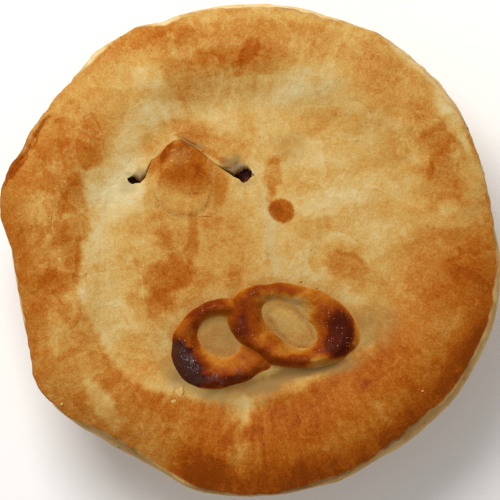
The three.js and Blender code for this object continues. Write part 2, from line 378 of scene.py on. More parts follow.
LID_STAINS = {
    # Upper left
    "brown under the top left edge": Stain(142, 37, 44, 12, 32, 0.15, 0.5),
    "brown corner of the top left": Stain(112, 44, 14, 8, 38, 0.10, 0.6),
    "brown at the top": Stain(174, 37, 22, 14, 15, 0.18, 0.6),
    "gold between edge and pale blob": Stain(84, 97, 26, 16, 50, -0.07, 0.6),
    "pale blob": Stain(150, 78, 18, 14, 0, -0.16, 0.3),
    "streaks right of the blob": Stain(179, 62, 22, 12, 95, -0.06, 0.5),
    "paler over the top": Stain(252, 18, 38, 7, 0, -0.04, 0.6),
    "orange at the top": Stain(250, 33, 24, 8, 0, 0.05, 0.6),
    "top brown": Stain(228, 58, 42, 11, 6, 0.10, 0.4),
    "paler under the top brown": Stain(243, 82, 28, 7, 0, -0.12, 0.6),
    "top brown, left": Stain(206, 60, 13, 10, 0, 0.09, 0.35),
    "top brown, darkest": Stain(251, 55, 17, 9, 52, 0.17, 0.25),
    "top brown, right end": Stain(270, 54, 9, 9, 0, 0.03, 0.5),
    "island below the streaks": Stain(191, 76, 10, 6, -10, 0.05, 0.4),
    "island under that": Stain(185, 95, 10, 10, 0, 0.07, 0.5),
    "gold band under the blob": Stain(138, 98, 13, 5, 15, 0.06, 0.6),
    "paler right of that band": Stain(164, 92, 10, 7, 0, -0.09, 0.6),
    "gold left of the pale way": Stain(114, 118, 20, 10, 70, 0.04, 0.5),
    "paler over the crack": Stain(109, 101, 22, 14, 30, -0.08, 0.7),
    "gold over the fold": Stain(79, 111, 11, 10, 0, 0.10, 0.4),
    "pale left of the halo": Stain(157, 115, 12, 10, 0, -0.09, 0.6),
    "pale way to the left eye": Stain(132, 138, 17, 10, 50, -0.12, 0.6),
    "left brown, upper": Stain(72, 135, 30, 18, -30, 0.06, 0.5),
    "brown round the crack": Stain(93, 128, 8, 12, 30, 0.12, 0.4),
    "inner brown, upper left": Stain(100, 150, 16, 8, 100, 0.02, 0.4),
    "left brown, crisp": Stain(68, 180, 17, 11, 100, 0.08, 0.22),
    "left brown, between": Stain(48, 185, 10, 9, 0, 0.09, 0.5),
    "left brown, outer": Stain(36, 180, 22, 10, 0, 0.07, 0.5),
    "brown over the fold": Stain(22, 149, 4, 14, -35, 0.06, 0.5),
    "dark end of the fold": Stain(11, 168, 5, 18, -30, 0.24, 0.5),
    "brown along the inner edge": Stain(83, 258, 18, 5, 96, 0.20, 0.5),
    "paler along the inner edge": Stain(78, 226, 26, 6, 92, -0.14, 0.5),
    "shade right of the tear": Stain(64, 206, 15, 4, 84, 0.12, 0.4),
    "gold on the left": Stain(48, 158, 20, 10, 75, 0.03, 0.6),
    "gold left of the tear": Stain(40, 206, 13, 9, 60, -0.03, 0.5),
    "left pinkish": Stain(30, 222, 28, 18, 80, -0.05, 0.6),
    "left brown band": Stain(74, 246, 32, 9, 96, 0.02, 0.3),
    "tan at the inner edge": Stain(92, 214, 7, 8, 0, 0.10, 0.6),
    "pale hollow": Stain(121, 185, 26, 21, 70, -0.20, 0.7),
    "pale band inside the left border": Stain(102, 244, 60, 14, 92, -0.06, 0.6),
    "tan under the hollow": Stain(110, 206, 26, 7, 0, 0.07, 0.6),
    "gold beside the hollow": Stain(95, 175, 9, 9, 0, 0.08, 0.6),
    "gold below the hollow": Stain(132, 226, 24, 12, 10, 0.12, 0.6),
    # Round the vent
    "halo of the tip": Stain(189, 129, 24, 10, -8, 0.26, 0.6),
    "brown right of the tip": Stain(222, 147, 30, 13, -14, 0.20, 0.6),
    # Painted shade under the upper lid's lip, right of the tongue's tip
    "painted shade along the cut": Stain(210, 153, 8, 4, -38, 0.15, 0.6),
    "pale over the left eye": Stain(140, 163, 11, 10, 0, -0.12, 0.7),
    # Painted shade under the upper lid's lip, over the tongue's tip
    "painted shade on the bevel over the tip": Stain(187, 139, 9, 3, -25, 0.18, 0.5),
    "shade at the lip of the right eye": Stain(226, 162, 9, 3, -32, 0.30, 0.6),
    "gold left of the tip": Stain(155, 144, 13, 8, 25, 0.10, 0.6),
    "tan right of the tongue's foot": Stain(211, 222, 15, 8, 0, 0.19, 0.6),
    "tan over the rings' crossing": Stain(234, 286, 8, 18, 0, 0.20, 0.6),
    "tan over the right stain": Stain(342, 248, 24, 6, 0, 0.16, 0.6),
    "tan left of the middle": Stain(150, 262, 40, 44, 0, 0.05, 0.7),
    "patch below the tongue": Stain(164, 242, 9, 10, 0, 0.16, 0.4),
    "tan below the tongue": Stain(177, 232, 18, 22, 0, 0.13, 0.6),
    "brown at the tongue's lower left": Stain(157, 214, 9, 8, 0, 0.16, 0.6),
    "tan left of the tongue": Stain(149, 190, 5, 13, 0, 0.12, 0.5),
    "smear by the right eye": Stain(273, 176, 17, 9, 80, 0.18, 0.25),
    "smear by the right eye, foot": Stain(272, 198, 12, 5, 80, 0.18, 0.5),
    "smear by the right eye, top": Stain(276, 163, 10, 5, 25, 0.12, 0.4),
    "stripe below the tongue": Stain(194, 236, 29, 5, 84, 0.18, 0.4),
    "grey shade right of the vent": Stain(291, 148, 14, 11, 0, 0.07, 0.7),
    "tan right of the vent": Stain(302, 181, 28, 16, 0, 0.10, 0.7),
    # Middle
    "amber stain": Stain(168, 276, 27, 15, 22, 0.38, 0.35),
    "amber stain, left of it": Stain(143, 266, 9, 8, 0, 0.12, 0.6),
    "patch over the amber stain": Stain(177, 253, 10, 6, 0, 0.10, 0.5),
    "amber stain, upper edge": Stain(168, 258, 13, 5, 10, 0.12, 0.6),
    "amber stain, paler left end": Stain(149, 279, 9, 8, 0, -0.11, 0.6),
    "amber stain, tail": Stain(157, 306, 16, 11, 40, 0.30, 0.5),
    "tan under the tail": Stain(156, 325, 11, 10, 0, 0.11, 0.6),
    "amber stain, foot at the left": Stain(137, 300, 11, 6, 0, 0.11, 0.5),
    "amber stain, fading right": Stain(202, 278, 13, 9, 0, 0.10, 0.6),
    "gold over the middle": Stain(226, 260, 34, 30, 0, 0.22, 0.6),
    "gold right of the tongue": Stain(228, 220, 22, 26, 0, 0.07, 0.6),
    "gold left of the strip": Stain(253, 229, 11, 22, 0, 0.06, 0.6),
    "pale strip down the middle": Stain(276, 240, 34, 8, 96, -0.03, 0.25),
    "pale above the rings": Stain(298, 278, 22, 8, 0, -0.07, 0.5),
    "tan over the left ring": Stain(182, 296, 24, 14, 10, 0.22, 0.7),
    "skirt of the lower ring": Stain(222, 343, 53, 46, 4, 0.14, 0.10),
    "skirt of the upper ring": Stain(294, 325, 68, 46, -10, 0.14, 0.10),
    "orange skirt over the upper ring": Stain(256, 284, 18, 5, 10, 0.09, 0.6),
    # Painted shade that the lower ring casts into its hole
    "painted shade on the floor of the lower ring": Stain(219, 342, 20, 16, -20, 0.10, 0.5),
    "between both": Stain(250, 335, 14, 30, 0, -0.14, 0.6),
    "middle of the upper ring": Stain(286, 324, 20, 12, -38, -0.08, 0.6),
    "left of the rings": Stain(148, 355, 24, 20, -30, 0.17, 0.6),
    "tan in the lower left": Stain(131, 312, 9, 9, 0, 0.08, 0.6),
    # Upper right
    "pale top": Stain(314, 78, 34, 18, 10, -0.21, 0.7),
    "pale left of that": Stain(298, 46, 14, 9, 0, -0.08, 0.6),
    "pale over that": Stain(341, 48, 18, 9, -10, -0.09, 0.6),
    "paler left of the hook": Stain(378, 125, 11, 11, 0, -0.06, 0.6),
    "paler beside the hook": Stain(400, 126, 11, 9, 0, -0.13, 0.5),
    "paler, upper right": Stain(346, 97, 26, 14, -10, -0.09, 0.7),
    "pale right of the top brown": Stain(283, 98, 14, 9, 0, -0.10, 0.6),
    "tan over the vent": Stain(247, 130, 10, 18, 0, 0.13, 0.6),
    "pale below the top brown": Stain(234, 100, 26, 16, 0, -0.06, 0.6),
    "cloud, upper right": Stain(332, 125, 30, 11, -5, 0.10, 0.5),
    "cloud, upper right, low": Stain(318, 134, 16, 6, 0, 0.06, 0.5),
    "cloud under the hook": Stain(387, 157, 10, 12, 0, 0.06, 0.5),
    "pale in the upper right middle": Stain(327, 160, 14, 8, 0, -0.10, 0.6),
    "cloud left of that": Stain(360, 167, 18, 7, 10, 0.10, 0.5),
    "paler over the upper right border": Stain(402, 93, 16, 14, 0, -0.13, 0.6),
    "corner of the border": Stain(393, 46, 20, 9, -40, 0.07, 0.5),
    "upper right border": Stain(414, 112, 8, 10, 20, 0.05, 0.5),
    "bare pastry at the edge": Stain(440, 105, 11, 8, -42, -0.17, 0.3),
    "pinkish below it": Stain(456, 128, 30, 9, -58, -0.12, 0.3),
    "brown line on the edge": Stain(469, 140, 16, 3, -65, 0.24, 0.5),
    "brown below the hook": Stain(440, 175, 18, 11, -10, 0.06, 0.5),
    "right of the hook": Stain(466, 172, 30, 13, -70, -0.14, 0.5),
    "pinkish left of the hook": Stain(413, 155, 6, 10, 0, -0.05, 0.5),
    "paler gap at the right": Stain(445, 204, 12, 7, 10, -0.14, 0.3),
    "paler below the gap": Stain(457, 216, 38, 10, 0, -0.16, 0.6),
    "pale right middle": Stain(340, 200, 36, 10, 12, -0.12, 0.6),
    "gold, crisp at its left": Stain(317, 227, 18, 12, 10, 0.11, 0.3),
    "gold at the far right": Stain(382, 198, 10, 17, 0, 0.06, 0.5),
    "right stain": Stain(346, 264, 21, 14, -12, 0.30, 0.35),
    "right stain, left end": Stain(317, 264, 9, 9, 0, 0.15, 0.5),
    "right stain, foot": Stain(360, 284, 9, 9, 0, 0.14, 0.5),
    "tan below the right stain": Stain(338, 282, 15, 7, 0, 0.12, 0.6),
    "tan right of that": Stain(374, 280, 12, 9, 0, 0.11, 0.6),
    "pale below the right stain": Stain(349, 297, 15, 11, 0, -0.08, 0.5),
    "paler right": Stain(434, 251, 12, 10, 0, -0.08, 0.6),
    "paler by the right border": Stain(418, 229, 14, 11, 0, -0.11, 0.6),
    "brown beside the burnt end": Stain(356, 352, 7, 6, 40, 0.14, 0.6),
    "tan right of the rings": Stain(382, 312, 22, 26, 0, 0.13, 0.7),
    # Right and bottom
    "brown by the lower right": Stain(440, 298, 18, 14, 0, 0.08, 0.6),
    "right dark": Stain(464, 268, 22, 14, 0, 0.10, 0.6),
    "right pinkish": Stain(436, 336, 26, 14, 45, -0.09, 0.6),
    "dark edge, lower right": Stain(477, 342, 19, 8, 66, 0.15, 0.6),
    "dark edge, lower": Stain(446, 378, 17, 6, 52, 0.13, 0.5),
    "brown in the bottom": Stain(318, 429, 14, 10, 0, 0.09, 0.6),
    "lower right": Stain(412, 378, 26, 24, 0, 0.03, 0.7),
    "brown dash": Stain(392, 350, 4, 11, 0, 0.12, 0.4),
    "brown left of the dash": Stain(376, 353, 9, 8, 0, 0.15, 0.5),
    "brown dash, right": Stain(408, 351, 12, 5, 0, 0.13, 0.4),
    "brown patch, low right": Stain(364, 385, 15, 7, 5, 0.10, 0.35),
    "brown patch, low right of that": Stain(402, 382, 11, 6, 0, 0.10, 0.4),
    "bottom dark left": Stain(203, 466, 28, 15, -15, 0.12, 0.5),
    "bottom pale flake": Stain(167, 465, 9, 7, 0, -0.12, 0.4),
    "brown at the very bottom": Stain(275, 472, 48, 16, 4, 0.12, 0.7),
    "pale notch": Stain(235, 398, 18, 4, 4, -0.1, 0.5),
    "pale notch, running down": Stain(239, 411, 15, 9, 100, -0.15, 0.5),
    "pale notch, end": Stain(242, 433, 24, 5, 88, -0.15, 0.8),
    "slope under the valley": Stain(256, 393, 34, 8, 10, 0.24, 0.5),
    "light ridge under the valley": Stain(290, 391, 18, 4, 15, -0.14, 0.5),
    # Painted shade in the valley below the rings
    "painted shade in the valley under the rings": Stain(294, 373, 56, 6, 15, 0.22, 0.5),
    "tan beside the lower ring": Stain(192, 395, 16, 6, -10, 0.10, 0.5),
    "bottom, left of the seam": Stain(212, 444, 22, 24, 0, 0.09, 0.6),
    "bottom, right of the seam": Stain(280, 424, 44, 22, 10, 0.09, 0.6),
    # Lower left
    "left brown blob": Stain(54, 280, 16, 13, 60, 0.14, 0.25),
    "left brown blob, right": Stain(73, 268, 13, 8, 85, 0.06, 0.3),
    "gold at the inner edge": Stain(78, 297, 16, 8, 85, -0.16, 0.5),
    "light streak, lower left": Stain(60, 335, 18, 9, 80, -0.14, 0.5),
    "light streak, over that": Stain(54, 323, 8, 12, 0, -0.09, 0.5),
    "brown at the inner edge": Stain(88, 342, 18, 11, -50, 0.07, 0.4),
    "brown lower left": Stain(62, 362, 16, 14, 0, 0.02, 0.5),
    "scuff": Stain(102, 402, 30, 11, -58, -0.24, 0.4),
    "brown right of the scuff": Stain(173, 410, 12, 8, 0, 0.08, 0.6),
    "paler, bottom left": Stain(148, 440, 22, 24, 0, -0.13, 0.7),
    "paler, low at the left": Stain(157, 453, 14, 12, 0, -0.10, 0.6),
    "paler over that": Stain(135, 411, 22, 12, -40, -0.04, 0.6),
}
TONGUE_STAINS = {
    "brown cap": Stain(184, 165, 39, 24, -4, 0.33, 0.42),
    # Painted shade on the tongue's side turned from the light
    "painted shade right of the flaky patch": Stain(198, 164, 15, 6, -62, 0.12, 0.5),
    "deepest, left of the flaky patch": Stain(167, 153, 11, 4, 62, 0.28, 0.5),
    "deepest, under the flaky patch": Stain(184, 174, 16, 6, 0, 0.06, 0.6),
    "brown on the very tip": Stain(178, 145.5, 10, 5, 0, 0.22, 0.5),
    "flaky patch on the tip": Stain(180, 157, 12, 8.5, 25, 0.06, 0.15),
    # Painted shade on the tongue's flank turned from the light
    "painted shade on the right flank": Stain(221, 187, 18, 8, 82, 0.24, 0.45),
    "lower tongue": Stain(185, 190, 28, 27, 0, 0.11, 0.10),
    "lower tongue, tan lobe": Stain(196, 204, 15, 13, 0, 0.02, 0.2),
    "tan at the lobe's right": Stain(212, 207, 6, 8, 0, 0.10, 0.6),
    # Painted light on the tongue's side that faces the light
    "painted light on the left side": Stain(155, 180, 12, 4, 75, -0.08, 0.5),
}
SPOT_STAINS = {
    "spot": Stain(281.2, 211, 12.8, 11.6, -20, 0.48, 0.10),
    "spot, darker side": Stain(276, 212, 6, 8, 0, 0.14, 0.6),
}
# Painted shade, which mixes the crust towards an olive grey: round and under the rings, in their holes,
# in the valley below them and at the vent's cut and lips. A few patches elsewhere are only duller.
SHADE_AND_DULL_STAINS = {
    "round the lower ring": Stain(220, 345, 64, 54, 5, 0.22, 0.2),
    "round the upper ring": Stain(295, 325, 74, 54, -10, 0.22, 0.2),
    "valley": Stain(294, 374, 58, 7, 15, 0.7, 0.5),
    "notch": Stain(238, 400, 26, 8, 0, 0.25, 0.5),
    "left end of the valley": Stain(257, 390, 18, 5, 12, 0.5, 0.5),
    "hole of the lower ring": Stain(216, 336, 26, 22, -20, 0.32, 0.5),
    "shade under the lower ring": Stain(204, 388, 30, 8, -20, 0.6, 0.6),
    "shade beside the burnt end": Stain(172, 374, 18, 7, -55, 0.45, 0.6),
    "hole of the upper ring": Stain(290, 326, 36, 22, -38, 0.1, 0.3),
    "fold in the upper ring, upper": Stain(298, 312, 24, 3, -40, 0.28, 0.6),
    "right of the upper ring": Stain(376, 326, 20, 20, 0, 0.42, 0.6),
    "right end of the valley": Stain(341, 369, 15, 5, 22, 0.45, 0.5),
    "right of the vent": Stain(291, 148, 16, 13, 0, 0.25, 0.6),
    "bevel right of the tip": Stain(193.5, 141, 12, 2.8, -34, 0.65, 0.4),
    "flaky patch on the tip": Stain(180, 157, 12, 8.5, 25, 0.22, 0.15),
    "lip of the right eye": Stain(237, 163, 14, 5.5, -8, 0.95, 0.55),
    "lip of the left eye": Stain(139, 175, 9, 5, 25, 0.5, 0.6),
    "below the right eye": Stain(245, 184, 8, 4, 0, 0.4, 0.6),
    "below the left eye": Stain(129, 186, 8, 5, 0, 0.35, 0.6),
    "beside the spot": Stain(270, 232, 40, 7, 97, 0.22, 0.6),
}

# Where the leaves of the top layer show more
LEAFY_STAINS = {
    "left border": Stain(68, 212, 100, 44, 88, 0.5, 0.4),
    "streaks in the top": Stain(215, 55, 62, 34, 0, 0.3, 0.5),
    "lower left of the middle": Stain(130, 285, 70, 50, 60, 0.4, 0.5),
    "hook": Stain(436, 150, 40, 34, 0, 0.3, 0.5),
}
LEAFY = 0.5  # elsewhere

LID_CREASES = {
    "below the rings": Crease(
        [(214, 394), (245, 386), (290, 375), (345, 359), (372, 344)], 6, 0.9, 0.0
    ),
    "down the bottom border": Crease([(248, 394), (243, 425), (237, 465)], 5, 0.5, -0.05),
    "fold at the left edge": Crease([(48, 120), (35.5, 139), (27, 154), (12, 176)], 1.6, 0.7, 0.24),
    "under the tongue": Crease(
        [(160, 207), (175, 215), (192, 217), (207, 210), (212, 192)], 1.6, 0.15, 0.02
    ),
    "wrinkle of the tongue": Crease(
        [(186, 197), (196, 194), (208, 189), (213, 181)], 1.8, 0.3, 0.10
    ),
    "step left of the wrinkle": Crease([(168, 189), (179, 192), (187, 196)], 1.6, 0.15, 0.06),
    "right side of the lobe": Crease([(213, 190), (211, 202), (203, 212)], 1.6, 0.12, 0.04),
    "hook": Crease(
        [(419, 140), (430, 131), (446, 127), (448, 139), (440, 152), (431, 162), (428, 178)],
        4.2,
        0.0,
        0.12,
    ),
    "hook, branch": Crease([(446, 144), (455, 150), (460, 155)], 3.5, 0.0, 0.07),
    "seam in the top": Crease([(221, 28), (223, 44), (222, 60)], 1.2, -0.08, -0.08),
    "seam left of that": Crease([(195, 30), (196, 48)], 1.2, -0.08, -0.07),
    "seam beside the blob": Crease([(171, 36), (173, 54), (178, 66)], 1.2, -0.1, -0.05),
    "tongue's left crease": Crease([(154, 190), (157, 199), (160, 208)], 1.4, 0.25, 0.12),
    "left of the spot": Crease([(263, 180), (268, 215), (275, 270)], 5, 0.2, -0.09),
    "blister in the ring, upper": Crease(
        [(268, 313), (280, 307), (296, 312), (310, 325), (316, 340)], 1.8, 0.5, 0.05
    ),
    "blister in the ring, lower": Crease(
        [(268, 318), (276, 333), (290, 345), (304, 350)], 1.8, 0.5, 0.02
    ),
}

# How far outlines stray by noise, in pixels, and the size of that noise in mm
STRAY, STRAY_SIZE = 3.0, 5.0
FRAY, FRAY_SIZE = 2.5, 1.4
LID_SEED = 100
# The share of it in some outlines that are neater
BORDER_WANDER = 0.6
TONGUE_WANDER = 0.25
SPOT_WANDER = 0.15
# Flakes of the top layer
FLAKE_SIZE = 9.0
FLAKE_SEED = 7
FLAKE_TONE = 0.03
FLAKE_STEP = 0.09
FLAKE_SLOPE = 0.12  # width of a step, as a share of the flake
FLAKE_WANDER = 1.2
CUT_BLUR = 0.25  # mm on each side of the vent's cut


def stained(pixel_x, pixel_y, stains):
    """The sum of the stains' tones. Each is full inside its oval and fades across its soft edge."""
    tone = np.zeros(np.shape(pixel_x))
    for stain in stains.values():
        turn = np.radians(stain.turn)
        right, up = pixel_x - stain.x, stain.y - pixel_y
        along = (right * np.cos(turn) + up * np.sin(turn)) / stain.long
        across = (up * np.cos(turn) - right * np.sin(turn)) / stain.wide
        distance = np.hypot(along, across)
        tone += stain.tone * (1 - smoothstep(distance, 1 - stain.soft, 1 + stain.soft))
    return tone


def path_distance(pixel_x, pixel_y, path):
    """The distance in pixels from a chain of straight runs."""
    nearest = np.full(np.shape(pixel_x), np.inf)
    for (start_x, start_y), (end_x, end_y) in zip(path, path[1:]):
        run_x, run_y = end_x - start_x, end_y - start_y
        share = ((pixel_x - start_x) * run_x + (pixel_y - start_y) * run_y) / (run_x**2 + run_y**2)
        share = np.clip(share, 0, 1)
        nearest = np.minimum(
            nearest, np.hypot(pixel_x - start_x - share * run_x, pixel_y - start_y - share * run_y)
        )
    return nearest


def wandered(x, y, seed):
    """The photograph's pixels over places on the pie, shifted by wide and by fine noise."""
    flat = stack(x, y, 0.0)
    return tuple(
        pixel
        + STRAY * uneven(flat, Noise(STRAY_SIZE, 2, seed + 20 * axis))
        + FRAY * uneven(flat, Noise(FRAY_SIZE, 2, seed + 20 * axis + 10))
        for axis, pixel in enumerate(to_photo(x, y))
    )


def vent_line(x):
    """The height in the photograph, as y on the pie, of the vent's cut at each x."""
    course_x, course_y = from_photo(*np.array(VENT_COURSE).T)
    return np.interp(x, course_x, course_y)


def part_way(start, end, share):
    """The places a share of the way from some places to others, as x and y."""
    return tuple(here + share * (there - here) for here, there in zip(start, end))


def below_vent(x, y):
    """1 on the tongue's side of the V-shaped cut and 0 on the other, with a narrow change between."""
    return smoothstep(vent_line(x) - y, -CUT_BLUR, CUT_BLUR)


def lid_browning_and_shade(x, y, tongue):
    """How deeply the lid is baked, from 0, cream, to 1, dark brown: a pale middle inside a browned
    border, which deepens at the edge, plus stains, creases and a small step from each flake of the top
    layer to the next. Some stains and creases are painted shade, below and in the rings, at the vent and
    on the tongue's side turned from the light, and one is painted light. The tongue's own stains count
    where the last argument is 1."""
    true, strayed = to_photo(x, y), wandered(x, y, LID_SEED)
    border_x, border_y = part_way(true, strayed, BORDER_WANDER)
    right, down = border_x - PALE_MIDDLE[0], border_y - PALE_MIDDLE[1]
    toward = np.degrees(np.arctan2(-down, right))
    edge, soft, border_tone = (round_the_pie(toward, PALE_EDGE, column) for column in (1, 2, 3))
    border = smoothstep(np.hypot(right, down), edge - soft, edge + soft)
    tone = MIDDLE_TONE + (border_tone - MIDDLE_TONE) * border
    degrees, share = np.degrees(np.arctan2(y, x)), rim_share(x, y)
    for tones, shares in ((EDGE_TONE, EDGE_SHARES), (FRINGE_TONE, FRINGE_SHARES)):
        tone += round_the_pie(degrees, tones, 1) * smoothstep(share, *shares)
    tone += stained(*strayed, LID_STAINS)
    tone += tongue * stained(*part_way(true, strayed, TONGUE_WANDER), TONGUE_STAINS)
    tone += stained(*part_way(true, strayed, SPOT_WANDER), SPOT_STAINS)
    for crease in LID_CREASES.values():
        tone += crease.tone * band(path_distance(*strayed, crease.path), crease.wide)
    flake_tone, _ = flakes(*from_photo(*strayed), FLAKE_SIZE, FLAKE_SEED)
    return tone + FLAKE_TONE * flake_tone


# Shape of the lid


def lid_level(x, y):
    """The plain top: a low dome, a valley round it, then the puffed border, which falls to the edge."""
    share = rim_share(x, y)
    dome = DOME_RISE * np.maximum(0, 1 - (share / BORDER_START) ** 2)
    border = BORDER_RISE * smoothstep(share, BORDER_START, BORDER_CREST)
    fall = EDGE_FALL * np.maximum(0, (share - BORDER_CREST) / (1 - BORDER_CREST)) ** 2
    return LID_VALLEY + dome + border - fall


# Places that stand up, with a height in mm in place of the tone
RAISED = {
    "lower tongue": Stain(184, 188, 31, 29, 0, 0.5, 0.16),
    "blister in the upper ring": Stain(291, 325, 22, 10, -39, 0.5, 0.8),
    "ridge under the valley": Stain(272, 395, 50, 5, 14, 0.6, 0.8),
    "right of the strip down the middle": Stain(292, 226, 28, 40, 0, 0.25, 0.15),
}
SPOT = from_photo(SPOT_STAINS["spot"].x, SPOT_STAINS["spot"].y)
SPOT_RADIUS = 2.8
SPOT_RISE = 0.3
# Swellings and puffs: their noise, their height in mm and what the border adds to it, which comes in
# between these shares of the radius
Puff = namedtuple("Puff", "noise high added")
PUFFS = [Puff(Noise(20.0, 2, 200), 0.15, 0.35), Puff(Noise(6.0, 3, 210), 0.06, 0.16)]
PUFFED_SHARES = (0.5, 0.8)
FLAKE_NOISES = (Noise(4.0, 2, 220), Noise(4.0, 2, 230))  # that bend the flakes' borders, along x and y


def lid_relief(x, y):
    """What baking adds to the plain top: swellings some 20 mm wide, puffs of 6 mm, steps between flakes,
    creases and one small round blister."""
    flat = stack(x, y, 0.0)
    border = smoothstep(rim_share(x, y), *PUFFED_SHARES)
    relief = np.zeros(np.shape(x))
    for puff in PUFFS:
        relief += (puff.high + puff.added * border) * uneven(flat, puff.noise)
    shifted = flat + FLAKE_WANDER * stack(*(uneven(flat, noise) for noise in FLAKE_NOISES), 0.0)
    flake_tone, flake_edge = flakes(shifted[..., 0], shifted[..., 1], FLAKE_SIZE, FLAKE_SEED)
    relief += FLAKE_STEP * flake_tone * smoothstep(flake_edge, 0.0, FLAKE_SLOPE)
    pixels = to_photo(x, y)
    for crease in LID_CREASES.values():
        relief -= crease.depth * bell(path_distance(*pixels, crease.path), crease.wide)
    relief += stained(*pixels, RAISED)
    from_spot = np.hypot(x - SPOT[0], y - SPOT[1]) / SPOT_RADIUS
    return relief + SPOT_RISE * np.sqrt(np.maximum(0, 1 - from_spot**2))


def lid_top(x, y):
    """The height of the baked top."""
    return lid_level(x, y) + lid_relief(x, y)


LID_COLUMNS = 640
WALL_ROWS = 14
TOP_ROWS = 116
EDGE_ROWS = 20
UNDER_ROWS = 4
# How far inside the lid's outline its browned top ends, which bares the pale cut edge: degrees,
# half-width, mm
BARE_EDGE = [
    Swell(352, 10, 1.4),
    Swell(335, 8, 0.6),
    Swell(44, 13, 2.2),
    Swell(80, 14, 0.5),
    Swell(109, 4.5, 1.2),
    Swell(129.5, 4.5, 1.0),
    Swell(249, 13, 1.3),
    Swell(286, 8, 1.0),
    Swell(312, 22, 0.35),
]
LID_SHOULDER = 0.25  # the least of it
# Darker tone of the lid's cut edge and of the case's rim below it, from deeper baking and from painted
# shade where the edge turns from the light, most at the bottom and lower right: degrees and tone
RIM_BAKING_AND_SHADE = [
    (0, 0.12),
    (15, 0.02),
    (25, 0.05),
    (42, 0.25),
    (60, 0.1),
    (80, 0.08),
    (109, 0.1),
    (116, 0.25),
    (128, 0.1),
    (140, 0.2),
    (154, 0.45),
    (163, 0.45),
    (172, 0.2),
    (190, 0.2),
    (230, 0.2),
    (250, 0.3),
    (270, 0.35),
    (286, 0.6),
    (300, 0.35),
    (325, 0.15),
    (335, 0.2),
    (352, 0.3),
]
# Nicks and corners of the outline that are too small for the solid: degrees, half-width, mm
NICKS = [
    Swell(72, 4, -0.4),
    Swell(111, 2.5, -0.6),
    Swell(117, 3, 0.4),
    Swell(135, 3, -0.6),
    Swell(151, 4, 0.4),
    Swell(172, 5, 1.5),
    Swell(184, 5, 0.4),
    Swell(210, 3, 0.5),
    Swell(236, 4, 0.5),
    Swell(292, 6, 0.4),
    Swell(324, 4, 0.5),
    Swell(359, 4, 0.5),
]
TUCKS = [Swell(12, 11, -1.1)]  # where the lid hides the rim: degrees, half-width, mm
LID_DRUM = 60.0  # radius of the drum on which noise runs round the lid
RAGGED_EDGE = 0.28
RAGGED_NOISE = Noise(2.5, 3, 300)
BARE_STRAY = 0.5  # share of the bared width
BARE_NOISE = Noise(7.0, 3, 310)
BARE_DEPTH = 9.0  # on the drum, where that noise is taken
LAYERS = 5  # bundles of leaves that show in the cut edge
LAYER_DEPTH = 0.45
LAYER_SHARES = (0, 0.2)  # of the way down, between which the layers come in
LAYER_WAVE = 1.3  # bundles that a leaf rises and falls by
WAVE_NOISE = Noise(13.0, 3, 320)
WAVE_DEPTH = 4.0  # on the drum, from the edge's top to its foot
LAYER_SHARPNESS = 0.6  # below 1 the grooves are narrower than the bundles
CLEAR_NOISE = Noise(5.0, 2, 330)
CLEAR_DEPTH = 6.0  # on the drum, from the edge's top to its foot
CLEAR_BAND = (-0.4, 0.5)  # of that noise, over which the layers change from smooth to clear
EDGE_ROUNDING = 0.25  # share of the edge's height
UNDERCUT = 0.8
UNDERCUT_SHARES = (0.6, 1.0)  # of the way down
CUT_TONE = 0.15  # of the cut edge, with what is added under a browned top, in a groove and by the wave
BAKED_TONE = 0.35
BAKED_SHARES = (0.05, 0.5)  # of the way down, between which that fades
FULLY_BARE = 1.5  # mm of bared width at which none of it is added
COVERED_SHARES = (0, 0.6)  # of that width still covered, between which it comes in
GROOVE_TONE = 0.2
WAVE_TONE = 0.12
UNDERSIDE_TONE = 0.12
STEAMED_TONE = -0.1  # of the damp dough in the vent
STEAMED_SHARES = (0.1, 0.7)  # of the way from lip to foot, between which crust gives way to dough
BORDER_RADII = (30, 42)  # mm between which the border's finish comes in
FIBRE_DRUM = 50.0  # radius of the drum on which fibres run
FIBRE_SHRINK = 0.22  # of their pattern along the radius, which draws them out
VENT_DRUM = 30.0  # radius of the circle on which noise runs round the vent
VENT_NOISE = Noise(1.0, 2, 350)
TORN_OPENING = 1.5  # mm of gape at which the vent's edge is torn in full


def noise_round(turn, depth, noise):
    """Noise at angles round the lid and depths below its edge, which joins up after a full turn."""
    drum = stack(LID_DRUM * np.cos(turn), LID_DRUM * np.sin(turn), depth)
    return uneven(drum, noise)


def cut_layers(turn, down):
    """The leaves in the cut edge, at angles and shares of the way down: ridges of an absolute sine, from
    0, a groove, to 1, smoothed out in places by noise, and the wave that the leaves follow."""
    wave = noise_round(turn, down * WAVE_DEPTH, WAVE_NOISE)
    ridge = np.abs(np.sin(np.pi * (LAYERS * down + LAYER_WAVE * wave))) ** LAYER_SHARPNESS
    clear = smoothstep(noise_round(turn, down * CLEAR_DEPTH, CLEAR_NOISE), *CLEAR_BAND)
    return 1 - (1 - ridge) * clear, wave


def vent_side(turn, upper, lower, rough=0.0):
    """An edge of the vent, torn by that many millimetres where it gapes. The cosine of the turn runs
    along the V and the sine tells its two sides apart."""
    along, side = np.cos(turn), np.sin(turn)
    left, right = (from_photo(*VENT_COURSE[end])[0] for end in (0, -1))
    x = left + (right - left) * (along + 1) / 2
    opening = SLIT_HALF_WIDTH + np.where(side > 0, swells(along, upper), swells(along, lower))
    torn = uneven(stack(VENT_DRUM * along, VENT_DRUM * side, 0.0), VENT_NOISE)
    torn = torn * np.clip(opening / TORN_OPENING, 0, 1)
    return stack(x, vent_line(x) + side * (opening + rough * torn))


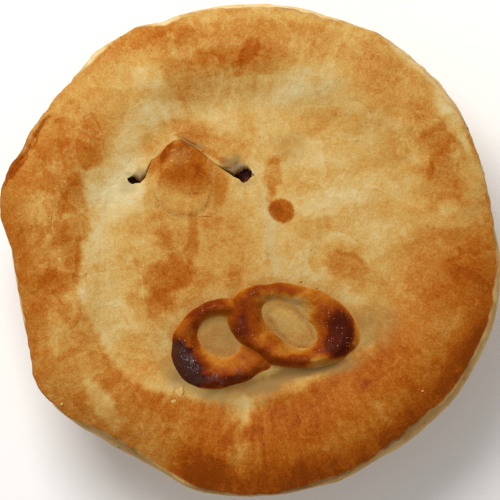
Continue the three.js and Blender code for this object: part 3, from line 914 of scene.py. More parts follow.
def lid_piece(material):
    """A grid round the vent. Each column climbs the vent's rounded cut from foot to lip, crosses the top
    to the rim, comes down the layered cut edge and returns flat along the underside."""
    turn = FULL_TURN * (np.arange(LID_COLUMNS) + 0.5) / LID_COLUMNS
    outward = stack(np.cos(turn), np.sin(turn))
    degrees = np.degrees(turn)
    lip = vent_side(turn, UPPER_LIP, LOWER_LIP)
    foot = vent_side(turn, UPPER_FOOT, LOWER_FOOT, FOOT_ROUGHNESS)
    ragged = RAGGED_EDGE * noise_round(turn, 0.0, RAGGED_NOISE)
    outline = lid_outline(turn) + ragged + swells_round(degrees, NICKS)
    bare = LID_SHOULDER + swells_round(degrees, BARE_EDGE)
    bare *= 1 + BARE_STRAY * noise_round(turn, BARE_DEPTH, BARE_NOISE)
    shoulder = outward * (outline - bare)[:, None]

    across = np.linspace(0, 1, TOP_ROWS)[:, None, None]
    top = lip + (shoulder - lip) * across
    x, y = top[..., 0], top[..., 1]
    from_lip = np.hypot(x - lip[:, 0], y - lip[:, 1])
    lower_side = np.where(np.sin(turn) < 0, 1.0, 0.0)
    tongue = TONGUE_LIFT * lower_side * bell(np.cos(turn) - TONGUE_TIP_AT, TONGUE_HALF_WIDTH)
    level = lid_top(x, y) + tongue * bell(from_lip, TONGUE_REACH)

    climb = np.pi / 2 * np.linspace(1, 0, WALL_ROWS, endpoint=False)[:, None]
    wall_place = lip + (foot - lip) * np.sin(climb)[..., None]
    wall_level = level[0] + (LID_FOOT - level[0]) * (1 - np.cos(climb))

    down = np.linspace(0, 1, EDGE_ROWS + 1)[1:, None]
    ridge, wave = cut_layers(turn, down)
    bulge = np.sqrt(np.clip(down / EDGE_ROUNDING, 0, 1)) * bare
    bulge = bulge + LAYER_DEPTH * (ridge - 1) * smoothstep(down, *LAYER_SHARES)
    bulge = bulge - UNDERCUT * smoothstep(down, *UNDERCUT_SHARES)
    edge_place = outward * (outline - bare + bulge)[..., None]
    edge_level = level[-1] + (LID_FOOT - level[-1]) * down

    back = np.linspace(0, 1, UNDER_ROWS + 2)[1:-1, None, None]
    under_place = edge_place[-1] + (foot - edge_place[-1]) * back
    under_level = np.full(under_place.shape[:2], LID_FOOT)

    place = np.concatenate([wall_place, top, edge_place, under_place])
    height = np.concatenate([wall_level, level, edge_level, under_level])
    points = stack(place[..., 0], place[..., 1], height)
    top_rows = slice(WALL_ROWS, WALL_ROWS + TOP_ROWS)
    edge_rows = slice(WALL_ROWS + TOP_ROWS, WALL_ROWS + TOP_ROWS + EDGE_ROWS)
    browning_and_shade = np.full(height.shape, UNDERSIDE_TONE)
    browning_and_shade[top_rows] = lid_browning_and_shade(x, y, lower_side)
    inside = np.broadcast_to(np.sin(climb), wall_level.shape)
    browning_and_shade[:WALL_ROWS] = browning_and_shade[WALL_ROWS] * (1 - inside) + STEAMED_TONE * inside
    baked = BAKED_TONE * (1 - smoothstep(down, *BAKED_SHARES))
    baked = baked * smoothstep(1 - bare / FULLY_BARE, *COVERED_SHARES)
    browning_and_shade[edge_rows] = CUT_TONE + baked + GROOVE_TONE * (1 - ridge) + WAVE_TONE * wave
    # Deeper baking, and painted shade where the edge turns from the light
    browning_and_shade[edge_rows] += round_the_pie(degrees, RIM_BAKING_AND_SHADE, 1)
    cut = np.ones(height.shape)
    cut[top_rows] = 0
    cut[:WALL_ROWS] = smoothstep(inside, *STEAMED_SHARES)
    # Painted shade, with a few only duller patches, mixed into the crust's colour
    shade_and_dull = np.zeros(height.shape)
    shade_and_dull[top_rows] = np.clip(stained(*wandered(x, y, LID_SEED), SHADE_AND_DULL_STAINS), 0, 1)
    shade_and_dull[:WALL_ROWS] = shade_and_dull[WALL_ROWS]
    leafy = np.full(height.shape, LEAFY)
    leafy[top_rows] += stained(*to_photo(x, y), LEAFY_STAINS)
    radius, angle = np.hypot(place[..., 0], place[..., 1]), np.arctan2(place[..., 1], place[..., 0])
    radial = stack(FIBRE_DRUM * np.cos(angle), FIBRE_DRUM * np.sin(angle), radius * FIBRE_SHRINK)
    border = smoothstep(radius, *BORDER_RADII)
    # Fibres show least at the left and right, more at the top and most at the bottom
    fibrous = 0.3 + 0.9 * np.sin(angle) ** 2 - 0.3 * np.sin(angle)
    return new_piece(
        "lid_puff_pastry",
        points,
        material,
        closed_rows=True,
        attributes={
            "browning_and_shade": browning_and_shade,
            "cut": cut,
            "shade_and_dull": shade_and_dull,
            "leafy": leafy,
            "border": border,
            "stretched": border * fibrous,
            "radial": radial * MM,
        },
    )


# Rings of pastry on the lid

Oval = namedtuple("Oval", "x y long wide turn")  # in the photograph's pixels and degrees
# A strip of pastry round a hole: its height in mm, and where across it, from -1 to 1, it is highest
Ring = namedtuple("Ring", "node outer hole bulges height crest crossing stains seed")
# Where one ring lies over the other: degrees, half-width, and the strip's height and lift there in mm
Crossing = namedtuple("Crossing", "at wide height lift")
RINGS = [
    Ring(
        node="ring_under",
        outer=Oval(220, 343.5, 51, 43.5, 35),
        hole=Oval(220, 336.5, 21.5, 18.5, -30),
        bulges=[Swell(335, 12, 12), Swell(312, 12, 3), Swell(205, 12, 1.5)],
        height=3.0,
        crest=0.2,
        crossing=Crossing(12, 62, 1.6, 0.0),
        stains={
            "burnt left end": Stain(183, 361, 28, 13, -58, 0.60, 0.25),
            "dark inside the burnt end": Stain(196, 362, 14, 8, -50, 0.26, 0.5),
            "dark outer bottom": Stain(220, 381, 34, 7, 2, 0.28, 0.3),
            "golden slope inside the bottom": Stain(224, 359, 19, 7, -14, -0.09, 0.5),
            "brown left side of the hole": Stain(197, 336, 5, 14, 0, 0.18, 0.6),
            "brown top": Stain(203, 305, 20, 7, 20, 0.22, 0.6),
            # Painted light where the upper ring shades the lower
            "painted light in the upper ring's shadow at the crossing": Stain(228, 306, 7, 5, 0, -0.10, 0.6),
            "orange right arm": Stain(254, 362, 12, 7, 40, -0.06, 0.6),
            "orange upper left": Stain(178, 326, 8, 14, 20, -0.06, 0.6),
            "pink swelling": Stain(263, 339, 11, 9, 0, -0.14, 0.6),
            "brown end of the right arm": Stain(262, 371, 8, 6, 30, 0.10, 0.6),
        },
        seed=400,
    ),
    Ring(
        node="ring_over",
        outer=Oval(294, 325.5, 65, 42.5, -10),
        hole=Oval(288, 323.5, 31.5, 16.5, -39),
        bulges=[
            Swell(149, 20, 6),
            Swell(80, 22, -3),
            Swell(182, 14, 2),
            Swell(214, 16, -2),
            Swell(348, 12, 3),
        ],
        height=2.8,
        crest=0.25,
        crossing=Crossing(195, 62, 2.4, 1.3),
        stains={
            "dark left arc": Stain(246, 314, 32, 16, 75, 0.09, 0.35),
            "darkest in the left arc": Stain(240, 326, 14, 7, 75, 0.16, 0.5),
            "dark line over the top": Stain(270, 289, 26, 4, 4, 0.08, 0.5),
            "pale pink, top right": Stain(303, 303, 18, 9, -30, -0.22, 0.6),
            "orange along the top": Stain(278, 299, 24, 7, -4, -0.22, 0.6),
            "lobe that reaches into the hole": Stain(273, 340, 8, 7, -40, 0.08, 0.4),
            "pink swelling of the crossing": Stain(260, 339, 8, 6, 0, -0.10, 0.6),
            "burnt right end": Stain(338, 334, 21, 14, 84, 0.30, 0.2),
            "orange skirt at the right": Stain(357, 335, 5, 26, 0, -0.20, 0.4),
            "orange over the top right": Stain(316, 294, 26, 6, -26, -0.12, 0.6),
            "orange top left corner": Stain(242, 290, 14, 5, 25, -0.20, 0.6),
            "brown round the burnt end": Stain(335, 335, 30, 22, 80, 0.14, 0.5),
            "dark crescent at the bottom": Stain(289, 361, 21, 6, 4, 0.08, 0.25),
            "dark foot of the swelling": Stain(266, 352, 15, 5, -30, 0.06, 0.5),
            "pale slope inside the bottom": Stain(288, 348, 18, 6, 0, -0.16, 0.5),
            "brown under the burnt end": Stain(320, 353, 7, 5, 0, 0.10, 0.6),
            "pale bottom right": Stain(325, 362, 17, 8, 15, -0.38, 0.5),
        },
        seed=500,
    ),
]
RING_STEPS = 400
RING_SIDES = 80
RING_TONE = 0.70  # with what is added on the crest and taken off the outer skirt and the inner slope
CREST_TONE = 0.16
CREST_WIDTH = 0.6  # here and below, across the strip from -1, at the hole, to 1
SKIRT_TONE = 0.12
SKIRT_SHARES = (0.8, 1.0)
SLOPE_TONE = 0.13
SLOPE_SHARES = (0.55, 1.0)  # towards the hole
# Where the caramel still shines
WET_STAINS = {
    "burnt left end": Stain(183, 360, 25, 11, -58, 0.65, 0.4),
    "outer bottom": Stain(210, 381, 18, 3.5, 2, 0.8, 0.5),
    "right arm": Stain(240, 372, 8, 4, 45, 0.6, 0.6),
    "left arc of the upper ring": Stain(237, 326, 6, 9, 0, 0.12, 0.6),
}
DEEPEST_TONE = 1.5  # the tone that the rings' burnt black stands for
RING_SINK = 0.15  # how far the strip has baked into the lid
RING_SOFTNESS = 1.5  # above 1 the strip runs out into a skirt
EDGE_CROWDING = 0.85  # below 1 the grid is closer at the strip's edges than a plain cosine
RING_WANDER = 0.35
RING_WANDER_SIZE = 4.0  # of its noise
RING_DRUM = 12.0  # radius of the circle on which noise runs round a ring
RING_UNEVENNESS = 0.15  # share of its height
RING_UNEVENNESS_SIZE = 7.0  # of its noise
SKIN_RELIEF = 0.14
SKIN_SIZE = 2.0  # of its noise
SKIN_RISE = 3.0  # the relief is full where the dome is over a third of its height
PRESSED_SHARES = (0.6, 1.3)  # of the crossing's half-width, between which the ring rises to full height


def oval_edge(oval, round_it, bulges=()):
    """The point of a turned ellipse in a direction from its middle, with bulges in pixels added."""
    turned_by = round_it - np.radians(oval.turn)
    radius = 1 / np.hypot(np.cos(turned_by) / oval.long, np.sin(turned_by) / oval.wide)
    radius = radius + swells_round(np.degrees(round_it), bulges)
    x, y = from_photo(oval.x + radius * np.cos(round_it), oval.y - radius * np.sin(round_it))
    return stack(x, y)


def ring_piece(ring, material):
    """A strip carried round between the edge of its hole and its outer edge. Across it is a dome,
    highest off its middle, over an underside baked into the lid. It is pressed flatter where the rings
    cross, and there the upper one is lifted over the lower one."""
    round_it = FULL_TURN * np.arange(RING_STEPS)[:, None] / RING_STEPS
    section = FULL_TURN * np.arange(RING_SIDES) / RING_SIDES
    outer, inner = oval_edge(ring.outer, round_it, ring.bulges), oval_edge(ring.hole, round_it)
    across = np.sign(np.cos(section)) * np.abs(np.cos(section)) ** EDGE_CROWDING
    place = (outer + inner) / 2 + (outer - inner) / 2 * across[:, None]
    x, y = place[..., 0], place[..., 1]
    flat = stack(x, y, 0.0)
    edge_wander = RING_WANDER * uneven(flat, Noise(RING_WANDER_SIZE, 2, ring.seed))
    outward = (outer - inner) / np.linalg.norm(outer - inner, axis=-1, keepdims=True)
    x, y = x + outward[..., 0] * edge_wander, y + outward[..., 1] * edge_wander
    apart = np.abs(turn_between(ring.crossing.at, np.degrees(round_it))) / ring.crossing.wide
    pressed = 1 - smoothstep(apart, *PRESSED_SHARES)
    loop = stack(np.cos(round_it) * RING_DRUM, np.sin(round_it) * RING_DRUM, 0.0)
    height = ring.height + (ring.crossing.height - ring.height) * pressed
    swelling = uneven(loop, Noise(RING_UNEVENNESS_SIZE, 2, ring.seed + 10))
    height = height * (1 + RING_UNEVENNESS * swelling)
    slope = np.where(across > ring.crest, 1 - ring.crest, 1 + ring.crest)
    from_crest = (across - ring.crest) / slope
    dome = np.where(np.sin(section) > 0, np.clip(1 - from_crest**2, 0, 1) ** RING_SOFTNESS, 0)
    tone = ring_tone(x, y, across, ring)
    skin = np.minimum(1, SKIN_RISE * dome) * SKIN_RELIEF
    skin = skin * uneven(flat, Noise(SKIN_SIZE, 3, ring.seed + 30))
    level = lid_top(x, y) - RING_SINK
    lift = ring.crossing.lift * pressed * (1 - across**4)
    points = stack(x, y, level + height * dome + lift * (dome > 0) + skin)
    return new_piece(
        ring.node + "_pastry_strip",
        points,
        material,
        closed_rows=True,
        attributes={
            "browning_and_shade": np.clip(tone / DEEPEST_TONE, 0, 1),
            "wet": stained(*wandered(x, y, ring.seed + 50), WET_STAINS),
        },
    )


def ring_tone(x, y, across, ring):
    """How deeply a ring is baked: deepest along its crest, paler on its inner slope and outer skirt,
    plus stains, one of which is painted light where the upper ring shades the lower."""
    tone = RING_TONE + CREST_TONE * bell(across - ring.crest, CREST_WIDTH)
    skirt, slope = smoothstep(across, *SKIRT_SHARES), smoothstep(-across, *SLOPE_SHARES)
    tone -= SKIRT_TONE * skirt + SLOPE_TONE * slope
    return tone + stained(*wandered(x, y, ring.seed + 40), ring.stains)


# Case, filling and crumbs

CASE_COLUMNS = 480
CASE_ROWS = 200
FILLING_ROWS = 150
POLE_RADIUS = 1.0  # of the first and last row of points, round the axis
RIM_RADIUS = 59.8  # mean radius of the rim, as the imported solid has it
BASE_RADIUS = 44.0
BASE_ROUNDING = 2.4
RIM_THICKNESS = 3.2
RIM_OVERHANG = 4.0
WALL = 4.0
UNEVEN_AT_BASE = 0.25  # share of the rim's unevenness that reaches down to the base
FIT = 0.3  # between the filling and the case
DENTS = 0.35
DENT_NOISE = Noise(14.0, 2, 600)
PITS = 0.14
PIT_NOISE = Noise(3.5, 3, 610)
CASE_TONE = 0.56
CASE_TONE_SPREAD = 0.2
CASE_TONE_NOISE = Noise(16.0, 3, 620)
BASE_TONE = [Swell(1.0, 2.5, 0.2)]  # added along the base's edge: level, half-width, tone
RIM_PALENESS = 0.39  # taken off the rim before its own tone is added
RIM_LEVELS = (26.0, 30.0)  # between which the wall's colour changes to the rim's
LUMPS = 1.2  # height of the filling's lumps
LUMP_NOISE = Noise(6.0, 3, 700)
LUMPS_DOWN = 0.3  # by which they lie lower, so that fewer of them are cut flat


def wall_radius(level):
    """The outside of the case's sloping wall."""
    top = CASE_HEIGHT - RIM_THICKNESS
    return BASE_RADIUS + (RIM_RADIUS - RIM_OVERHANG - BASE_RADIUS) * level / top


def turned(radius, level):
    """A profile turned round the axis, its outline following the rim's unevenness more near the top."""
    turn = FULL_TURN * np.arange(CASE_COLUMNS) / CASE_COLUMNS
    follow = UNEVEN_AT_BASE + (1 - UNEVEN_AT_BASE) * np.clip(level / CASE_HEIGHT, 0, 1)[:, None]
    rim = rim_outline(turn) + swells_round(np.degrees(turn), NICKS + TUCKS)
    stretch = 1 + follow * (rim / RIM_RADIUS - 1)
    radius = radius[:, None] * stretch
    return stack(radius * np.cos(turn), radius * np.sin(turn), level[:, None])


def case_piece(material):
    """The shortcrust case: a profile of base, sloping wall, rim and plain inside, turned round the axis,
    with dents, pits and a ragged rim."""
    top = CASE_HEIGHT - RIM_THICKNESS
    # From the middle of the base outward, up the wall, round the rim and back along the inside. The odd
    # tenths blunt the corners.
    corners = [
        (POLE_RADIUS, 0.0),
        (BASE_RADIUS - BASE_ROUNDING, 0.0),
        (wall_radius(BASE_ROUNDING) - 0.5, 0.6),
        (wall_radius(BASE_ROUNDING), BASE_ROUNDING),
        (wall_radius(top) - 0.6, top - 2.0),
        (wall_radius(top) + 0.2, top - 0.6),
        (RIM_RADIUS - 1.2, top),
        (RIM_RADIUS - 0.3, top + 0.6),
        (RIM_RADIUS, top + RIM_THICKNESS / 2),
        (RIM_RADIUS - 0.4, CASE_HEIGHT - 0.5),
        (RIM_RADIUS - 1.2, CASE_HEIGHT),
        (wall_radius(top) - WALL, CASE_HEIGHT),
        (wall_radius(top) - WALL, top),
        (wall_radius(WALL) - WALL, WALL),
        (POLE_RADIUS, WALL),
    ]
    radius, level = along_chain(corners, np.linspace(0, 1, CASE_ROWS))
    points = turned(radius, level)
    outside = np.arange(len(radius)) < np.argmax(level > CASE_HEIGHT - 0.1)
    side = outside & (level > 0.3)
    outward = points[..., :2] / np.linalg.norm(points[..., :2], axis=-1, keepdims=True)
    dents = DENTS * uneven(points, DENT_NOISE) + PITS * uneven(points, PIT_NOISE)
    points[..., :2] += outward * (dents * side[:, None])[..., None]
    browning_and_shade = CASE_TONE + CASE_TONE_SPREAD * uneven(points, CASE_TONE_NOISE)
    browning_and_shade += swells(level, BASE_TONE)[:, None]
    degrees = np.degrees(np.arctan2(points[..., 1], points[..., 0]))
    # Deeper baking of the rim, and painted shade where it turns from the light
    rim_baking_and_shade = round_the_pie(degrees, RIM_BAKING_AND_SHADE, 1) - RIM_PALENESS
    browning_and_shade += rim_baking_and_shade * smoothstep(level, *RIM_LEVELS)[:, None]
    return new_piece("case_shortcrust", points, material, attributes={"browning_and_shade": browning_and_shade})


def filling_piece(material):
    """Steak in gravy: it fills the case, and its top is lumpy with pieces of meat."""
    gap = WALL + FIT
    top = CASE_HEIGHT - RIM_THICKNESS
    corners = [
        (POLE_RADIUS, FILLING_FLOOR),
        (wall_radius(FILLING_FLOOR) - gap, FILLING_FLOOR),
        (wall_radius(top) - gap, top),
        (wall_radius(top) - gap, FILLING_TOP),
        (POLE_RADIUS, FILLING_TOP),
    ]
    radius, level = along_chain(corners, np.linspace(0, 1, FILLING_ROWS))
    points = turned(radius, level)
    surface = level > FILLING_TOP - LEVEL_TOLERANCE
    lumps = np.minimum(0, LUMPS * uneven(points, LUMP_NOISE) - LUMPS_DOWN)
    points[..., 2] += lumps * surface[:, None]
    return new_piece("filling_steak_gravy", points, material)


Crumb = namedtuple("Crumb", "x y long wide high turn")  # pixels, then mm, mm, mm and degrees
CRUMBS = [
    Crumb(179, 392, 1.5, 0.8, 0.16, 55),
    Crumb(174, 400, 0.6, 0.4, 0.16, 20),
    Crumb(300, 281, 0.35, 0.25, 0.3, 20),
    Crumb(316, 287, 0.4, 0.25, 0.3, -30),
    Crumb(63, 403, 0.4, 0.3, 0.3, 40),
    Crumb(421, 390, 0.35, 0.18, 0.15, 35),
]
CRUMB_SIDES = 24
CRUMB_TONE = 0.36
CRUMB_ROUGHNESS = 0.35
CRUMB_NOISE = Noise(0.8, 2, 800)
CRUMB_SHIFT = 5  # of that noise from one crumb to the next
CRUMB_REST = 0.4  # share of its height that its middle lies above the lid


def crumbs_piece(material):
    """Loose flakes on the lid: flattened balls, their radius broken up by noise, in one mesh."""
    across = np.linspace(0, np.pi, CRUMB_SIDES)[1:-1, None]
    round_it = FULL_TURN * np.arange(CRUMB_SIDES) / CRUMB_SIDES
    radius = np.sin(across)
    ball = stack(radius * np.cos(round_it), radius * np.sin(round_it), np.cos(across))
    made = []
    for number, crumb in enumerate(CRUMBS):
        x, y = from_photo(crumb.x, crumb.y)
        turn = np.radians(crumb.turn)
        broken = CRUMB_ROUGHNESS * uneven(ball + CRUMB_SHIFT * number, CRUMB_NOISE)
        rough = ball * (1 + broken)[..., None]
        long, wide = rough[..., 0] * crumb.long, rough[..., 1] * crumb.wide
        crumb_x = x + long * np.cos(turn) - wide * np.sin(turn)
        crumb_y = y + long * np.sin(turn) + wide * np.cos(turn)
        level = lid_top(np.array([x]), np.array([y]))[0] + CRUMB_REST * crumb.high
        points = stack(crumb_x, crumb_y, level + rough[..., 2] * crumb.high)
        tone = np.full(points.shape[:2], CRUMB_TONE)
        made.append(new_piece(f"crumb_{number}", points, material, attributes={"browning_and_shade": tone}))
    return joined("crumbs_loose_pastry", made)


# Torn edges of the lid's top leaf, and painted shade in its cracks

Tear = namedtuple("Tear", "path wide high tone")  # pixels, then mm, mm and a tone
# Tones: pale torn dough; the brightest, pale flakes with painted highlights; the dark ones, painted
# shade in cracks, folds and gaps; the darkest, painted shade in a crevice under a lifted lip
GLINTING_FLAKE, PALE, CRACK_SHADE, CREVICE_SHADE = -0.26, -0.2, 0.25, 0.6  # against the crust beside it
TEARS = [
    Tear([(76, 127), (87, 131), (93, 133)], 0.14, 0.10, PALE),
    Tear([(97, 136), (103, 146), (105, 160)], 0.10, 0.07, PALE),
    Tear([(75, 167), (84, 171), (86, 176)], 0.11, 0.07, PALE),
    Tear([(91, 182), (93, 187), (96, 182)], 0.11, 0.07, PALE),
    Tear([(60, 198), (57, 212), (54, 228), (57, 236)], 0.22, 0.14, PALE),
    Tear([(59, 202), (55, 214), (53, 228)], 0.09, 0.04, CRACK_SHADE),
    Tear([(58, 237), (66, 246), (74, 256), (78, 278)], 0.12, 0.08, PALE),
    Tear([(57, 260), (61, 258), (64, 262)], 0.20, 0.07, PALE),
    Tear([(32, 272), (39, 269)], 0.11, 0.07, PALE),
    Tear([(65, 156), (80, 155)], 0.08, 0.05, PALE),
    Tear([(132, 210), (137, 219)], 0.08, 0.05, PALE),
    Tear([(136, 285), (144, 290), (152, 297)], 0.08, 0.05, PALE),
    Tear([(160, 255), (166, 253), (172, 251)], 0.09, 0.06, PALE),
    Tear([(48, 120), (41.5, 130), (35.5, 139), (29, 151), (23, 161)], 0.20, 0.04, CRACK_SHADE),
    Tear([(367, 111), (370, 115)], 0.08, 0.04, CRACK_SHADE),
    Tear([(376, 125), (379, 129)], 0.08, 0.04, CRACK_SHADE),
    Tear([(402, 118), (403, 124), (405, 129)], 0.08, 0.05, CRACK_SHADE),
    Tear([(422, 170), (425, 178)], 0.08, 0.06, PALE),
    Tear([(449, 146), (452, 148)], 0.11, 0.07, PALE),
    Tear([(474, 155), (478, 161)], 0.14, 0.07, PALE),
    Tear([(480, 163), (484, 177)], 0.11, 0.07, PALE),
    Tear([(458, 114), (465, 125), (470, 138)], 0.10, 0.04, CRACK_SHADE),
    Tear([(481, 181), (484, 195), (486, 207)], 0.12, 0.04, CRACK_SHADE),
    Tear([(440, 249), (444, 254)], 0.10, 0.06, PALE),
    Tear([(331, 204), (338, 200)], 0.08, 0.05, PALE),
    Tear([(345, 150), (357, 145)], 0.08, 0.05, PALE),
    Tear([(135, 410), (145, 412), (143, 427), (147, 437)], 0.08, 0.07, PALE),
    Tear([(297, 413), (300, 420), (297, 425)], 0.18, 0.04, CRACK_SHADE),
    Tear([(348, 420), (351, 414)], 0.13, 0.09, PALE),
    Tear([(242, 448), (239, 460), (235, 473)], 0.08, 0.06, PALE),
    Tear([(177, 460), (173, 450)], 0.08, 0.05, PALE),
    Tear([(352, 397), (353, 403)], 0.10, 0.04, CRACK_SHADE),
    Tear([(420, 389), (423, 392)], 0.11, 0.07, PALE),
    Tear([(168, 144), (170, 148), (169, 152)], 0.10, 0.07, PALE),
    # Pale flakes on the tongue's tip, with painted highlights on them
    Tear([(171, 154), (173, 151), (177, 150)], 0.14, 0.09, GLINTING_FLAKE),
    Tear([(170, 160), (174, 162), (177, 164)], 0.22, 0.10, GLINTING_FLAKE),
    Tear([(180, 150), (184, 152), (185, 155)], 0.13, 0.09, GLINTING_FLAKE),
    Tear([(189, 151), (192, 154), (191, 158)], 0.12, 0.08, GLINTING_FLAKE),
    # A painted highlight on the right eye's lip
    Tear([(250.5, 169), (253, 173), (252.5, 179)], 0.30, 0.12, PALE),
    Tear([(176, 156), (179, 154), (180, 158)], 0.12, 0.07, GLINTING_FLAKE),
    Tear([(181, 163), (186, 162), (190, 160)], 0.10, 0.06, GLINTING_FLAKE),
    Tear([(184, 139), (191, 143), (199, 148), (205, 154)], 0.25, 0.05, CRACK_SHADE),
    Tear([(190, 146), (198, 151), (206, 158)], 0.09, 0.07, PALE),
    Tear([(170, 137), (176, 133), (183, 138)], 0.14, 0.08, PALE),
    Tear([(152, 161), (160, 152.5), (166, 145)], 0.11, 0.06, PALE),
    # Painted shade in the crevice under the right eye's lifted lip
    Tear([(223, 169), (228, 167.5), (234, 169)], 0.20, 0.04, CREVICE_SHADE),
    Tear([(154.4, 191.5), (157, 199), (159.5, 207)], 0.14, 0.04, CRACK_SHADE),
    Tear([(187, 196.5), (192, 194.5), (199, 193)], 0.13, 0.04, CRACK_SHADE),
    Tear([(188, 198), (191, 200), (189, 203)], 0.11, 0.06, PALE),
    Tear(
        [(161, 209), (167, 214), (177, 214), (190, 218), (200, 217), (207, 209)], 0.12, 0.07, PALE
    ),
    Tear([(193, 219), (201, 217.5), (206, 216), (214, 219)], 0.11, 0.04, CRACK_SHADE),
    Tear([(272, 137), (280, 140), (278, 144), (273, 142)], 0.08, 0.05, PALE),
    Tear([(262, 170), (270, 161), (283, 156)], 0.08, 0.05, PALE),
    Tear([(264, 192), (266, 210), (264, 227)], 0.11, 0.06, PALE),
    Tear([(168, 43), (169, 49)], 0.08, 0.06, PALE),
    Tear([(190, 84), (193, 87)], 0.08, 0.06, PALE),
    Tear([(196, 50), (196, 55)], 0.08, 0.06, PALE),
]
TEAR_STEPS = 28
TEAR_SIDES = 8
TEAR_END = 0.02  # share of the path left out at each end
TEAR_WANDER = 0.35
TEAR_NOISE = Noise(1.2, 2, 850)
TEAR_MEAN = 0.7  # of its thickness, with the spread that noise gives it and its limits
TEAR_SPREAD = 0.9
TEAR_SPREAD_NOISE = Noise(0.7, 2, 860)
TEAR_LIMITS = (0.15, 1.6)
TEAR_BLUNTNESS = 0.6  # below 1 its ends are blunter than a sine
FOOT_CLEARANCE = 2.0  # mm above the lid's foot, under which no vertex belongs to its top


def level_on(lid, x, y):
    """The height of the lid's top at some places: the mean of its three nearest vertices."""
    points = vertices_of(lid)
    points = points[points[:, 2] > LID_FOOT + FOOT_CLEARANCE]
    squared = (x[:, None] - points[:, 0]) ** 2 + (y[:, None] - points[:, 1]) ** 2
    return points[np.argpartition(squared, 3, axis=1)[:, :3], 2].mean(1)


def tears_piece(lid, material):
    """Torn edges of the top leaf, and thin dark strips of painted shade in its cracks, folds and gaps: a
    low oval tube carried along each path, half of it sunk in the lid, narrowing to both ends, all in one
    mesh."""
    section = FULL_TURN * np.arange(TEAR_SIDES) / TEAR_SIDES
    share = np.linspace(TEAR_END, 1 - TEAR_END, TEAR_STEPS)
    made = []
    for number, tear in enumerate(TEARS):
        x, y = from_photo(*along_chain(tear.path, share))
        wander = TEAR_WANDER * uneven(stack(x, y, 0.0), TEAR_NOISE)
        along_x, along_y = np.gradient(x), np.gradient(y)
        length = np.hypot(along_x, along_y)
        side_x, side_y = -along_y / length, along_x / length
        x, y = x + side_x * wander, y + side_y * wander
        frayed = TEAR_MEAN + TEAR_SPREAD * uneven(stack(x, y, 0.0), TEAR_SPREAD_NOISE)
        frayed = np.clip(frayed, *TEAR_LIMITS)
        taper = (np.sin(np.pi * share) ** TEAR_BLUNTNESS * frayed)[:, None]
        across, up = taper * tear.wide * np.cos(section), taper * tear.high * np.sin(section)
        points = stack(
            x[:, None] + side_x[:, None] * across,
            y[:, None] + side_y[:, None] * across,
            level_on(lid, x, y)[:, None] + up,
        )
        beside = points[..., 0], points[..., 1]
        tone = lid_browning_and_shade(*beside, below_vent(*beside)) + tear.tone
        made.append(new_piece(f"tear_{number}", points, material, attributes={"browning_and_shade": tone}))
    return joined("torn_flake_edges_and_crack_shade", made)


# Materials


def linear(colour):
    """An sRGB hex colour as linear red, green, blue and full alpha."""
    channels = np.array([int(colour[i : i + 2], 16) for i in (1, 3, 5)]) / 255
    low, high = channels / 12.92, ((channels + 0.055) / 1.055) ** 2.4
    return (*np.where(channels <= 0.04045, low, high), 1.0)


def per_mm(size):
    """The scale of a texture whose features are that many millimetres across."""
    return 1 / (size * MM)


def add(tree, kind, inputs=None, output=0, stops=(), **settings):
    """A shader node with its settings, which gives back one of its outputs. Inputs maps a socket's name
    or number to a value or to the output that feeds it, and stops are a ramp's places and colours."""
    made = tree.nodes.new("ShaderNode" + kind)
    for name, value in settings.items():
        setattr(made, name, value)
    for socket, value in (inputs or {}).items():
        if isinstance(value, bpy.types.NodeSocket):
            tree.links.new(value, made.inputs[socket])
        else:
            made.inputs[socket].default_value = value
    for number, (place, colour) in enumerate(stops):
        elements = made.color_ramp.elements
        element = elements[number] if number < 2 else elements.new(place)
        element.position = place
        element.color = linear(colour)
    return made.outputs[output]


def mottled(tree, tone, patterns):
    """A tone with patterns added: each one times its depth, less half the depth, so the mean stays."""
    for pattern, depth in patterns:
        tone = add(tree, "Math", {0: pattern, 1: depth, 2: tone}, operation="MULTIPLY_ADD")
    half_depth = sum(depth for _, depth in patterns) / 2
    return add(tree, "Math", {0: tone, 1: half_depth}, operation="SUBTRACT")


def new_material(name, finish):
    """A material whose empty tree is filled by the finish's function, which gives back the shader."""
    material = bpy.data.materials.new(name)
    material.use_nodes = True
    tree = material.node_tree
    tree.nodes.clear()
    surface = tree.nodes.new("ShaderNodeOutputMaterial").inputs["Surface"]
    tree.links.new(finish(tree), surface)
    return material


# Egg-washed puff pastry: cream where it stayed pale, through gold and orange to brown, in crisp-edged
# patches, with the top leaf's faint fibres and torn flakes, dark flecks, painted shade in olive grey
# and a low satin shine.
PUFF_COLOURS = [
    (0.0, "#d6c69a"),
    (0.12, "#cfbb88"),
    (0.3, "#c8a666"),
    (0.42, "#bf934b"),
    (0.52, "#b8823c"),
    (0.6, "#b0722d"),
    (0.68, "#a96620"),
    (0.78, "#a05510"),
    (0.88, "#954608"),
    (1.0, "#7f3905"),
]
CUT_COLOURS = [
    (0.0, "#ae8a66"),
    (0.12, "#d8c294"),
    (0.4, "#caa568"),
    (0.7, "#a8824e"),
    (1.0, "#80603c"),
]
# Olive grey for the painted shade
SHADE_AND_DULL_COLOUR = "#8f7040"
FLECK_COLOUR = "#6e3a0c"
# Patches in the crust: their size in mm, their tone and the band of the noise that they fade over
Mottling = namedtuple("Mottling", "size tone low high")
PUFF_MOTTLING = [
    Mottling(9.0, 0.03, 0.38, 0.62),
    Mottling(3.6, 0.03, 0.40, 0.60),
    Mottling(1.5, 0.05, 0.38, 0.62),
    Mottling(0.6, 0.085, 0.35, 0.65),
    Mottling(0.3, 0.09, 0.35, 0.65),
]
